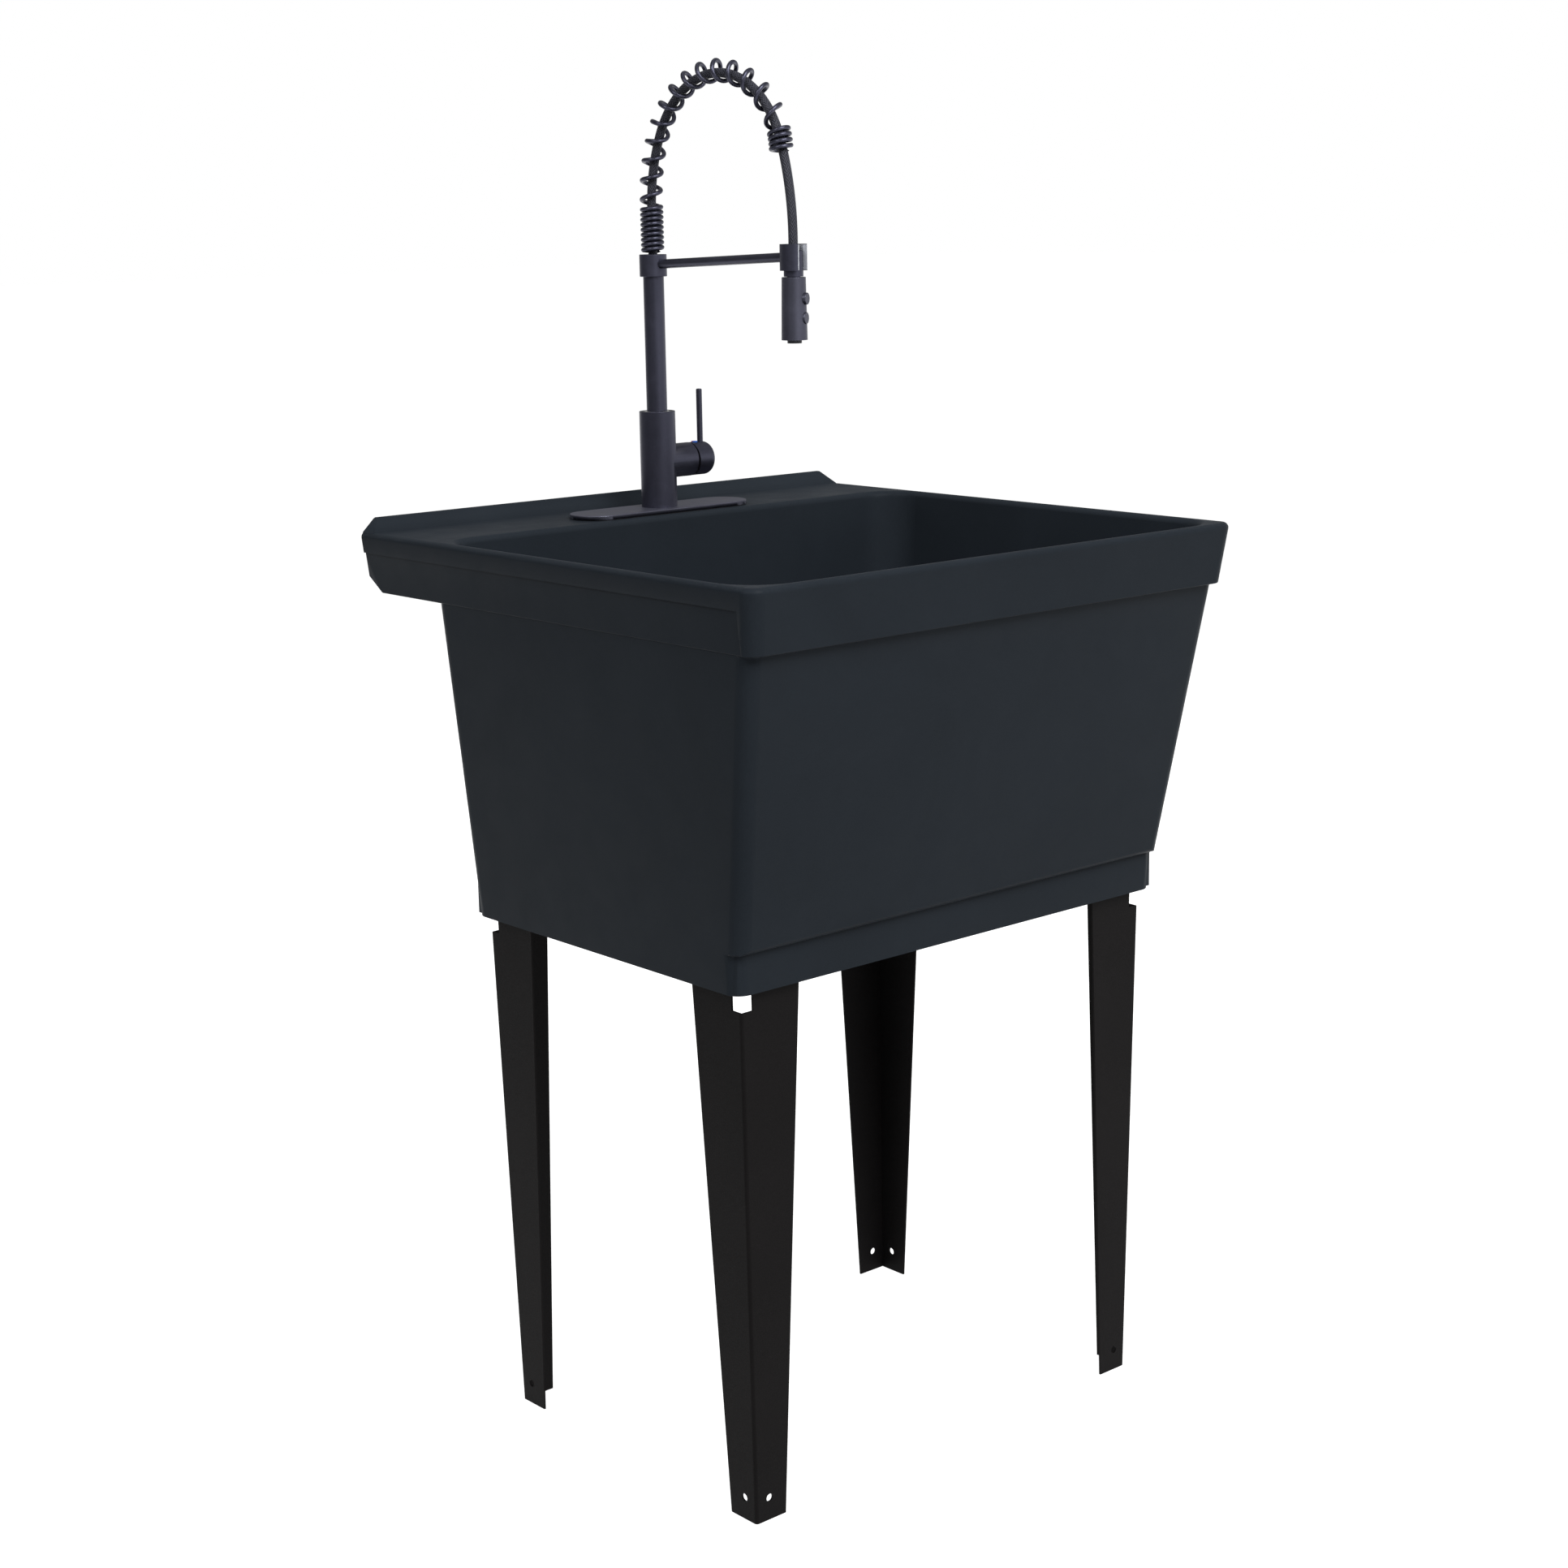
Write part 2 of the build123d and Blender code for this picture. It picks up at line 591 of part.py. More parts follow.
def make_tub():
    """The moulded tub: basin, rim, deck, backsplash, skirt and leg sockets."""
    cheek_z = BAND_BOTTOM_Z + CHEEK_CHAMFER_Z
    tub = tub_band() + tub_body()
    deck_hollow = block(
        -(HALF_X - BAND_FLARE_X - PANEL_RECESS - WALL),
        HALF_X - BAND_FLARE_X - PANEL_RECESS - WALL,
        BODY_TOP_BACK + 1.6,
        HALF_Y - BAND_REAR_LEAN - WALL,
        BAND_BOTTOM_Z - 5,
        DECK_UNDER_Z,
    )
    tub = tub - deck_hollow
    rear = block(
        -(HALF_X - BAND_FLARE_X - PANEL_RECESS - WALL),
        HALF_X - BAND_FLARE_X - PANEL_RECESS - WALL,
        BODY_TOP_BACK + BAND_DROP,
        HALF_Y + 5,
        BAND_BOTTOM_Z - 5,
        RIM_HEIGHT - REAR_APRON_DROP,
    )
    tub = tub - rear
    tub = tub - prism_x(
        (
            (HALF_Y - BAND_REAR_LEAN - CHEEK_CHAMFER_Y, BAND_BOTTOM_Z - 1),
            (HALF_Y - BAND_REAR_LEAN + 1, cheek_z),
            (HALF_Y + 10, cheek_z),
            (HALF_Y + 10, BAND_BOTTOM_Z - 1),
        ),
        HALF_X + 10,
    )
    rim_edges = tub.edges().filter_by(lambda e: abs(e.center().Z - RIM_HEIGHT) < 0.01)
    outer = rim_edges.filter_by(lambda e: e.center().Y < HALF_Y - 1)
    tub = fillet(outer, LIP_OUTER_R)
    basin_low = plan_rect(
        BASIN_FLOOR_HALF_X, BASIN_FLOOR_FRONT, BASIN_FLOOR_BACK, BASIN_FLOOR_R, FLOOR_TOP_Z
    )
    basin_high = plan_rect(
        HALF_X - LIP_WIDTH,
        HALF_Y - BASIN_TOP_FRONT_WALL,
        BASIN_TOP_BACK,
        BASIN_TOP_R,
        RIM_HEIGHT,
    )
    basin = loft([basin_low, basin_high], ruled=True)
    basin = fillet(basin.edges().group_by(Axis.Z)[0], BASIN_FOOT_R)
    tub = tub - basin
    inner = tub.edges().filter_by(
        lambda e: abs(e.center().Z - RIM_HEIGHT) < 0.01
        and e.center().Y < BASIN_TOP_BACK + 1
        and abs(e.center().X) < HALF_X - LIP_WIDTH + 1
        and e.center().Y > -HALF_Y + BASIN_TOP_FRONT_WALL - 1
    )
    tub = fillet(inner, LIP_INNER_R)
    skirt = plan_rect(
        BODY_HALF_X - WALL, SKIRT_FRONT - WALL, BODY_BACK - WALL, SKIRT_INNER_R, BODY_BOTTOM_Z - 1
    )
    tub = tub - extrude(skirt, FLOOR_UNDER_Z - BODY_BOTTOM_Z + 1)
    tub = tub + under_ribs()
    for pad in leg_sockets():
        tub = tub + pad
    tub = tub + tube_z(SUMP_R + 2, 0, SUMP_UNDER_Z, FLOOR_UNDER_Z + 1)
    sump = Pos(0, 0, SUMP_FLOOR_Z + SUMP_DEPTH / 2) * Cone(SUMP_FLOOR_R, SUMP_R, SUMP_DEPTH)
    tub = tub - sump
    tub = tub - tube_z(
        DRAIN_TUBE_R + DRAIN_HOLE_CLEARANCE, 0, SUMP_UNDER_Z - 1, FLOOR_TOP_Z
    )
    tub = tub + backsplash()
    for x, radius in (
        (0, DECK_HOLE_R),
        (-SIDE_HOLE_SPACING, SIDE_HOLE_R),
        (SIDE_HOLE_SPACING, SIDE_HOLE_R),
    ):
        tub = tub - Pos(x, TAP_Y, 0) * tube_z(radius, 0, DECK_UNDER_Z - 1, RIM_HEIGHT + 1)
    pilot = Cylinder(SCREW_R + SCREW_CLEARANCE, 2 * (SCREW_REACH + SCREW_CLEARANCE))
    for side_x in (-1, 1):
        for side_y in (-1, 1):
            for place in screw_places():
                tub = tub - at_corner(place * pilot, side_x, side_y)
    return tub


# ---- legs ------------------------------------------------------------------


def leg_blank():
    """One folded leg with its bend at the origin and its flanges along +X and +Y."""
    top = FLOOR_UNDER_Z - LEG_TOP_GAP
    extra = 6.0
    outline = make_face(
        Polyline(
            (0, -extra),
            (LEG_FOOT_FLANGE, -extra),
            (LEG_FOOT_FLANGE, 0),
            (LEG_TOP_FLANGE, top),
            (LEG_TOP_FLANGE, top + extra),
            (0, top + extra),
            close=True,
        )
    )
    flange_x = extrude(Plane.XZ * outline, -LEG_STEEL)
    flange_y = extrude(Plane.YZ * outline, LEG_STEEL)
    leg = flange_x + flange_y
    bend = leg.edges().filter_by(Axis.Z).filter_by(
        lambda e: abs(e.center().X) < 0.01 and abs(e.center().Y) < 0.01
    )
    leg = fillet(bend, LEG_BEND_R)
    leg = leg - block(-1, LEG_NOTCH, -1, LEG_NOTCH, LEG_NOTCH_Z, top + extra + 1)
    leg = leg - Pos(FOOT_HOLE_FROM_BEND, 0, FOOT_HOLE_Z) * rod_y(FOOT_HOLE_R, -5, 5)
    leg = leg - Pos(0, FOOT_HOLE_FROM_BEND, FOOT_HOLE_Z) * rod_x(FOOT_HOLE_R, -5, 5)
    for place in screw_places():
        leg = leg - place * Cylinder(SCREW_R + SCREW_CLEARANCE, 20)
    return leg


def make_leg(side_x, side_y):
    """Leg at one corner, cut level at the floor and under the basin."""
    leg = at_corner(leg_blank(), side_x, side_y)
    wide = RIM_WIDTH
    top = FLOOR_UNDER_Z - LEG_TOP_GAP
    leg = leg - block(-wide, wide, -wide, wide, -wide, 0)
    leg = leg - block(-wide, wide, -wide, wide, top, top + wide)
    return leg


def make_leg_screws():
    """Pan-head screws that hold the legs in their sockets, two to a leg."""
    shaft = Pos(0, 0, -SCREW_REACH / 2) * Cylinder(SCREW_R, SCREW_REACH)
    head = Pos(0, 0, SCREW_HEAD_HEIGHT / 2) * Cylinder(SCREW_HEAD_R, SCREW_HEAD_HEIGHT)
    head = fillet(head.edges().group_by(Axis.Z)[-1], 1.0)
    slot = Pos(0, 0, SCREW_HEAD_HEIGHT) * (Box(4.4, 0.9, 1.6) + Box(0.9, 4.4, 1.6))
    screw = Pos(0, 0, FIT) * (head + shaft - slot)
    flipped = Rot(180, 0, 0) * screw
    screws = []
    for side_x in (-1, 1):
        for side_y in (-1, 1):
            screws.append(at_corner(screw_places()[0] * flipped, side_x, side_y))
            screws.append(at_corner(screw_places()[1] * flipped, side_x, side_y))
    return Compound(children=[s.solids()[0] for s in screws])


# ---- drain -----------------------------------------------------------------


def make_drain_flange():
    """Threaded drain body with the flange that sits in the sump."""
    top = SUMP_FLOOR_Z + DRAIN_FLANGE_HEIGHT
    flange = tube_z(DRAIN_FLANGE_R, 0, SUMP_FLOOR_Z, top)
    flange = chamfer(flange.edges().group_by(Axis.Z)[-1], 1.6)
    tube = tube_z(DRAIN_TUBE_R, 0, SUMP_FLOOR_Z - DRAIN_TUBE_LENGTH, SUMP_FLOOR_Z + 1)
    drain = flange + tube
    drain = drain - tube_z(DRAIN_THROAT_R, 0, SUMP_FLOOR_Z - DRAIN_LEDGE_DEPTH, top + 1)
    low = SUMP_FLOOR_Z - DRAIN_TUBE_LENGTH - 1
    return drain - tube_z(DRAIN_THROAT_R - DRAIN_LEDGE_WIDTH, 0, low, SUMP_FLOOR_Z)


def make_strainer():
    """Round strainer plate resting on the ledge in the drain's throat."""
    z0 = SUMP_FLOOR_Z - DRAIN_LEDGE_DEPTH
    plate = tube_z(DRAIN_THROAT_R - FIT, 0, z0, z0 + STRAINER_THICKNESS)
    for angle in range(STRAINER_HOLES):
        place = Rot(0, 0, 360 / STRAINER_HOLES * angle) * Pos(STRAINER_RING_R, 0, 0)
        plate = plate - place * tube_z(STRAINER_HOLE_R, 0, z0 - 1, z0 + 5)
    return plate - tube_z(STRAINER_HOLE_R, 0, z0 - 1, z0 + 5)


def make_stopper():
    """Rubber plug with a rim, a stalk and a knob to lift it by."""
    top = SUMP_FLOOR_Z + DRAIN_FLANGE_HEIGHT + FREE_GAP
    plug_r = DRAIN_THROAT_R - STOPPER_CLEARANCE
    plug = tube_z(plug_r, 0, top - STOPPER_PLUG_DEPTH, top)
    plug = chamfer(plug.edges().group_by(Axis.Z)[0], 1.5)
    rim = tube_z(STOPPER_RIM_R, 0, top, top + STOPPER_RIM_HEIGHT)
    rim = fillet(rim.edges().group_by(Axis.Z)[-1], 1.2)
    stalk_top = top + STOPPER_RIM_HEIGHT + STOPPER_STALK_HEIGHT
    stalk = tube_z(STOPPER_STALK_R, 0, top + 1, stalk_top)
    knob = tube_z(STOPPER_KNOB_R, 0, stalk_top, stalk_top + STOPPER_KNOB_HEIGHT)
    knob = fillet(knob.edges().filter_by(GeomType.CIRCLE), 1.4)
    return plug + rim + stalk + knob


def make_drain_washer():
    """Rubber washer under the sump."""
    return tube_z(
        LOCKNUT_R + 1, DRAIN_TUBE_R + FIT, SUMP_UNDER_Z - DRAIN_WASHER_HEIGHT, SUMP_UNDER_Z
    )


def make_drain_locknut():
    """Locknut that draws the drain down, with lugs to turn it by."""
    top = SUMP_UNDER_Z - DRAIN_WASHER_HEIGHT
    nut = tube_z(LOCKNUT_R - 4, 0, top - LOCKNUT_HEIGHT, top)
    nut = nut + tube_z(LOCKNUT_R, 0, top - 2.5, top)
    for angle in range(6):
        lug = block(LOCKNUT_R - 6, LOCKNUT_R, -3, 3, top - LOCKNUT_HEIGHT, top)
        nut = nut + Rot(0, 0, 60 * angle) * lug
    return nut - tube_z(DRAIN_TUBE_R + FIT, 0, top - LOCKNUT_HEIGHT - 1, top + 1)


def make_tailpiece():
    """Flanged tailpiece that a trap slips onto."""
    top = SUMP_FLOOR_Z - DRAIN_TUBE_LENGTH - FIT
    pipe = tube_z(TAILPIECE_R, 0, top - TAILPIECE_LENGTH, top)
    pipe = pipe + tube_z(TAILPIECE_FLANGE_R, 0, top - TAILPIECE_FLANGE_HEIGHT, top)
    root = TAILPIECE_FLANGE_HEIGHT + TAILPIECE_ROOT_HEIGHT
    pipe = pipe + tube_z(TAILPIECE_ROOT_R, 0, top - root, top)
    bore = TAILPIECE_R - TAILPIECE_WALL
    return pipe - tube_z(bore, 0, top - TAILPIECE_LENGTH - 1, top + 1)


def make_slip_nut():
    """Ribbed slip nut that clamps the tailpiece to the drain."""
    flange_z = SUMP_FLOOR_Z - DRAIN_TUBE_LENGTH - FIT - TAILPIECE_FLANGE_HEIGHT
    low = flange_z - SLIP_NUT_LIP
    nut = tube_z(SLIP_NUT_R, 0, low, low + SLIP_NUT_HEIGHT)
    for step in range(SLIP_NUT_RIBS):
        place = Rot(0, 0, 360 / SLIP_NUT_RIBS * step) * Pos(SLIP_NUT_R, 0, 0)
        nut = nut + place * tube_z(1.8, 0, low, low + SLIP_NUT_HEIGHT)
    nut = nut - tube_z(DRAIN_TUBE_R + FIT, 0, flange_z - FIT, low + SLIP_NUT_HEIGHT + 1)
    return nut - tube_z(TAILPIECE_ROOT_R + FIT, 0, low - 1, flange_z + 1)


# ---- tap: base -------------------------------------------------------------


def plate_outline(inset):
    """Long plate outline with fully rounded ends."""
    return RectangleRounded(
        PLATE_LENGTH - 2 * inset, PLATE_WIDTH - 2 * inset, PLATE_WIDTH / 2 - inset - 0.1
    )


def make_deck_gasket():
    """Thin foam gasket between the tub and the deck plate."""
    sheet = Pos(0, TAP_Y, RIM_HEIGHT) * extrude(plate_outline(GASKET_INSET), GASKET_THICKNESS)
    return sheet - Pos(0, TAP_Y, 0) * tube_z(DECK_HOLE_R, 0, RIM_HEIGHT - 1, RIM_HEIGHT + 5)


def make_deck_plate():
    """Deck plate that covers the three holes of the deck."""
    low = RIM_HEIGHT + GASKET_THICKNESS
    plate = Pos(0, TAP_Y, low) * extrude(plate_outline(0), PLATE_THICKNESS)
    plate = fillet(plate.edges().group_by(Axis.Z)[-1], PLATE_EDGE_R)
    hole_r = SHANK_R + 0.3
    return plate - Pos(0, TAP_Y, 0) * tube_z(hole_r, 0, low - 1, PLATE_TOP_Z + 1)


def make_tap_body():
    """Upright base with the side hub for the valve."""
    base = tube_z(BASE_R, 0, PLATE_TOP_Z, BASE_TOP_Z)
    base = fillet(base.edges().group_by(Axis.Z)[-1], BASE_EDGE_R)
    body = base + rod_x(HUB_R, 0, HUB_END_X, HUB_Z)
    body = body - rod_x(HUB_BORE_R, HUB_BORE_START, HUB_END_X + 1, HUB_Z)
    bore_z = BASE_TOP_Z - RISER_INSERT
    body = body - tube_z(RISER_R + RUN_CLEARANCE, 0, bore_z, BASE_TOP_Z + 1)
    body = body - tube_z(BUSHING_R + FIT, 0, BASE_TOP_Z - BUSHING_LENGTH, BASE_TOP_Z + 1)
    body = body - tube_z(SHANK_R + FIT, 0, PLATE_TOP_Z - 1, PLATE_TOP_Z + SHANK_INSERT)
    body = body - tube_z(CHANNEL_R, 0, HUB_Z, bore_z + 1)
    body = body - rod_x(CHANNEL_R, 0, HUB_BORE_START + 1, HUB_Z)
    seat = PLATE_TOP_Z + SHANK_INSERT
    port_z = HUB_Z + PORT_DROP
    for side in (-1, 1):
        x = side * INLET_SPACING
        body = body - Pos(x, 0, 0) * tube_z(INLET_R, 0, seat - 1, seat + INLET_DEPTH)
        body = body - Pos(x, side * PORT_SPACING / 2, 0) * tube_z(CHANNEL_R, 0, seat, port_z)
        port = rod_x(CHANNEL_R, x, HUB_BORE_START + 1, port_z)
        body = body - Pos(0, side * PORT_SPACING, 0) * port
    return Pos(0, TAP_Y, 0) * body


def make_shank():
    """Threaded shank that passes through the deck."""
    low = RIM_HEIGHT - SHANK_DROP
    shank = tube_z(SHANK_R, SHANK_BORE_R, low, PLATE_TOP_Z + SHANK_INSERT - FIT)
    return Pos(0, TAP_Y, 0) * shank


def make_rubber_washer():
    """Rubber washer under the deck."""
    z0 = DECK_UNDER_Z - RUBBER_WASHER_HEIGHT
    return Pos(0, TAP_Y, 0) * tube_z(RUBBER_WASHER_R, SHANK_R + FIT, z0, DECK_UNDER_Z)


def make_steel_washer():
    """Steel washer under the rubber one."""
    top = DECK_UNDER_Z - RUBBER_WASHER_HEIGHT
    z0 = top - STEEL_WASHER_HEIGHT
    return Pos(0, TAP_Y, 0) * tube_z(RUBBER_WASHER_R - 0.5, SHANK_R + FIT, z0, top)


def make_mounting_nut():
    """Hexagon nut that clamps the tap to the deck."""
    top = DECK_UNDER_Z - RUBBER_WASHER_HEIGHT - STEEL_WASHER_HEIGHT
    across = MOUNT_NUT_FLATS / math.sqrt(3)
    nut = Pos(0, 0, top - MOUNT_NUT_HEIGHT) * extrude(
        RegularPolygon(across, 6), MOUNT_NUT_HEIGHT
    )
    nut = nut - tube_z(SHANK_R + FIT, 0, top - MOUNT_NUT_HEIGHT - 1, top + 1)
    return Pos(0, TAP_Y, 0) * nut


# ---- tap: valve and lever --------------------------------------------------


def make_cartridge():
    """Ceramic valve cartridge in the hub."""
    start = HUB_BORE_START + FIT
    cartridge = rod_x(HUB_BORE_R - FIT, start, HUB_BORE_START + CARTRIDGE_LENGTH, HUB_Z)
    for y, z in ((0, 0), (PORT_SPACING, PORT_DROP), (-PORT_SPACING, PORT_DROP)):
        port = rod_x(CHANNEL_R, start - 1, start + 6, HUB_Z + z)
        cartridge = cartridge - Pos(0, y, 0) * port
    return Pos(0, TAP_Y, 0) * cartridge


def make_retainer():
    """Threaded ring that holds the cartridge in the hub."""
    start = HUB_BORE_START + CARTRIDGE_LENGTH + FIT
    ring = rod_x(HUB_BORE_R - FIT, start, RETAINER_END_X, HUB_Z)
    ring = ring - rod_x(RETAINER_INNER_R, start - 1, RETAINER_END_X + 1, HUB_Z)
    for angle in range(4):
        slot = block(RETAINER_END_X - 1.6, RETAINER_END_X + 1, 9, 15, -1.2, 1.2)
        ring = ring - Pos(0, 0, HUB_Z) * Rot(45 + 90 * angle, 0, 0) * slot
    return Pos(0, TAP_Y, 0) * ring


def make_carrier():
    """Turning carrier of the cartridge, slotted for the stem."""
    start = CARRIER_START_X
    end = start + CARRIER_LENGTH
    carrier = rod_x(RETAINER_INNER_R - RUN_CLEARANCE, start, end, HUB_Z)
    half_y = STEM_R + FREE_GAP
    half_z = CARRIER_SLOT_HALF
    slot = block(start - 1, end + 1, -half_y, half_y, HUB_Z - half_z, HUB_Z + half_z)
    carrier = carrier - slot
    pin_hole = Pos(PIVOT_X, 0, 0) * rod_y(PIVOT_PIN_R + FIT, -20, 20, HUB_Z)
    return Pos(0, TAP_Y, 0) * (carrier - pin_hole)


def make_pivot_pin():
    """Cross pin that the stem tilts on."""
    half = PIVOT_PIN_HALF
    return Pos(PIVOT_X, TAP_Y, 0) * rod_y(PIVOT_PIN_R, -half, half, HUB_Z)


def make_stem():
    """Valve stem from the pivot pin out into the cap."""
    start = PIVOT_X - STEM_TAIL
    stem = rod_x(STEM_R, start, STEM_END_X, HUB_Z)
    stem = stem - Pos(PIVOT_X, 0, 0) * rod_y(PIVOT_PIN_R + RUN_CLEARANCE, -20, 20, HUB_Z)
    return Pos(0, TAP_Y, 0) * stem


def make_lever_cap():
    """Domed cap of the lever, its face slanted to leave room for the tilt."""
    cap = rod_x(CAP_R, CAP_FACE_TOP_X - 1, CAP_END_X)
    cap = fillet(cap.edges().group_by(Axis.X)[-1], CAP_DOME_R)
    high = CAP_R + 0.5
    slant = make_face(
        Polyline(
            (CAP_FACE_TOP_X - 5, high),
            (CAP_FACE_TOP_X, high),
            (CAP_FACE_BOTTOM_X, -high),
            (CAP_FACE_TOP_X - 5, -high),
            close=True,
        )
    )
    cap = cap - extrude(Plane.XZ * slant, 30, both=True)
    cap = cap - rod_x(CAP_CAVITY_R, CAP_FACE_TOP_X - 5, CAP_CAVITY_END)
    boss = rod_x(SET_SCREW_R + 5, CAP_FACE_BOTTOM_X + 1, CAP_CAVITY_END + 1)
    cap = cap + boss
    bridge = block(SET_SCREW_X - 3.6, CAP_CAVITY_END + 1, -3.6, 3.6, 0, CAP_CAVITY_R + 1)
    cap = cap + bridge
    cap = cap - rod_x(STEM_R + FIT, CAP_FACE_TOP_X - 5, CAP_SOCKET_END)
    lever_hole = tube_z(LEVER_R + FIT, 0, LEVER_ROOT, CAP_R + 5)
    cap = cap - Pos(LEVER_X, 0, 0) * lever_hole
    screw_hole = tube_z(SET_SCREW_R + FIT, 0, 0, CAP_R + 5)
    cap = cap - Pos(SET_SCREW_X, 0, 0) * screw_hole
    index_hole = tube_z(INDEX_R + FIT, 0, CAP_R - INDEX_DEPTH, CAP_R + 5)
    cap = cap - Pos(SET_SCREW_X, 0, 0) * index_hole
    return Pos(0, TAP_Y, HUB_Z) * cap


def make_lever_rod():
    """Slim upright lever."""
    rod = tube_z(LEVER_R, 0, HUB_Z + LEVER_ROOT + FIT, LEVER_TOP_Z)
    rod = fillet(rod.edges().group_by(Axis.Z)[-1], LEVER_TIP_R)
    return Pos(LEVER_X, TAP_Y, 0) * rod


def make_set_screw():
    """Grub screw that fixes the cap on the stem."""
    low = STEM_R + FIT
    screw = tube_z(SET_SCREW_R, 0, low, low + SET_SCREW_LENGTH)
    hexagon = Pos(0, 0, low + SET_SCREW_LENGTH - 2) * extrude(RegularPolygon(1.1, 6), 3)
    return Pos(SET_SCREW_X, TAP_Y, HUB_Z) * (screw - hexagon)


def make_index(side):
    """Half of the round index plug over the grub screw: -1 towards the user."""
    low = CAP_R - INDEX_DEPTH + FIT
    plug = tube_z(INDEX_R, 0, low, CAP_R + INDEX_STAND)
    plug = fillet(plug.edges().group_by(Axis.Z)[-1], 0.5)
    ys = sorted((side * FIT, side * (INDEX_R + 1)))
    plug = plug & block(-INDEX_R - 1, INDEX_R + 1, *ys, 0, 2 * CAP_R)
    return Pos(SET_SCREW_X, TAP_Y, HUB_Z) * plug


# ---- tap: riser, arm and spray ---------------------------------------------


def arm_rod(radius, start, end):
    """Rod on the arm's line, between two distances from its root in the collar."""
    return arm_plane() * Pos(0, 0, (start + end) / 2) * Cylinder(radius, end - start)


def arm_root():
    """End of the arm in the collar."""
    return Vector(0, TAP_Y - COLLAR_R + ARM_COLLAR_INSERT, ARM_Z)


def arm_tip():
    """End of the arm in the holder ring, at the ring's middle."""
    return Vector(0, SPRAY_Y + RING_R - ARM_RING_INSERT, RING_MID_Z)


def arm_plane():
    """Plane across the arm at its root."""
    return Plane(origin=arm_root(), z_dir=arm_tip() - arm_root())


def arm_span():
    """Length from the arm's root to its tip."""
    return (arm_tip() - arm_root()).length


def make_swivel_bushing():
    """Plastic sleeve that the riser turns in."""
    z0 = BASE_TOP_Z - BUSHING_LENGTH + FIT
    sleeve = tube_z(BUSHING_R, RISER_R + RUN_CLEARANCE, z0, BASE_TOP_Z - 0.2)
    return Pos(0, TAP_Y, 0) * sleeve


def make_riser():
    """Upright tube that turns in the base and carries the arch."""
    low = BASE_TOP_Z - RISER_INSERT + FREE_GAP
    riser = tube_z(RISER_R, RISER_BORE_R, low, RISER_TOP_Z)
    groove_r = RISER_R - 2 * ORING_R - 0.05
    for height in ORING_HEIGHTS:
        ring = tube_z(RISER_R + 1, groove_r, low + height - ORING_R, low + height + ORING_R)
        riser = riser - ring
    return Pos(0, TAP_Y, 0) * riser


def make_orings():
    """Two seals in the riser's grooves."""
    low = BASE_TOP_Z - RISER_INSERT + FREE_GAP
    rings = []
    for height in ORING_HEIGHTS:
        ring = Pos(0, TAP_Y, low + height) * Torus(RISER_R - ORING_R, ORING_R - 0.02)
        rings.append(ring.solids()[0])
    return Compound(children=rings)


def make_collar():
    """Collar on the riser's top: seat of the spring and root of the arm."""
    collar = tube_z(COLLAR_R, 0, COLLAR_Z, COLLAR_TOP_Z)
    collar = fillet(collar.edges().filter_by(GeomType.CIRCLE), 0.5)
    collar = collar - tube_z(RISER_R + FIT, 0, COLLAR_Z - 1, COLLAR_TOP_Z - COLLAR_CAP)
    collar = collar - tube_z(HOSE_R + HOSE_GUIDE_CLEARANCE, 0, COLLAR_Z, COLLAR_TOP_Z + 1)
    collar = collar - rod_y(COLLAR_SCREW_R + FIT, 0, COLLAR_R + 5, COLLAR_Z + 8)
    return Pos(0, TAP_Y, 0) * collar - arm_rod(ARM_R + FIT, 0, COLLAR_R)


def make_collar_screw():
    """Grub screw that locks the collar on the riser, at the back."""
    screw = rod_y(COLLAR_SCREW_R, RISER_R + FIT, COLLAR_R - 0.3, COLLAR_Z + 8)
    hexagon = Pos(0, COLLAR_R - 0.3, COLLAR_Z + 8) * Rot(90, 0, 0) * extrude(
        RegularPolygon(0.9, 6), 1.4
    )
    return Pos(0, TAP_Y, 0) * (screw - hexagon)


def make_arm():
    """Straight support arm that rises a little from the collar to the holder ring."""
    return arm_rod(ARM_R, FIT, arm_span() - FIT)


def ring_band(outer_r, inner_r, height):
    """Closed ring about the Z axis, at the holder ring's height."""
    return tube_z(outer_r, inner_r, RING_MID_Z - height / 2, RING_MID_Z + height / 2)


def ring_gap(half_width):
    """Room of the holder's gap, towards -Y before the holder is turned."""
    reach = RING_R + 5
    return block(-half_width, half_width, -reach, 0, RING_MID_Z - reach, RING_MID_Z + reach)


def make_holder_ring():
    """Open holder ring that docks the spray head."""
    band = ring_band(RING_R, RING_BORE_R + LINER_THICKNESS + FIT, RING_HEIGHT)
    ring = Rot(0, 0, RING_TURN) * (band - ring_gap(RING_GAP / 2))
    return Pos(0, SPRAY_Y, 0) * ring - arm_rod(ARM_R + FIT, arm_span() - RING_R, arm_span())


def make_holder_liner():
    """Plastic liner inside the holder ring, with lips over the ring's two cut ends."""
    height = RING_HEIGHT - 2 * LINER_INSET
    lip_outside = RING_GAP / 2 - FIT
    sleeve = ring_band(RING_BORE_R + LINER_THICKNESS, RING_BORE_R, height)
    lips = ring_band(RING_R - FIT, RING_BORE_R, height) & ring_gap(lip_outside)
    liner = sleeve + lips - ring_gap(lip_outside - LIP_THICKNESS)
    return Pos(0, SPRAY_Y, 0) * Rot(0, 0, RING_TURN) * liner


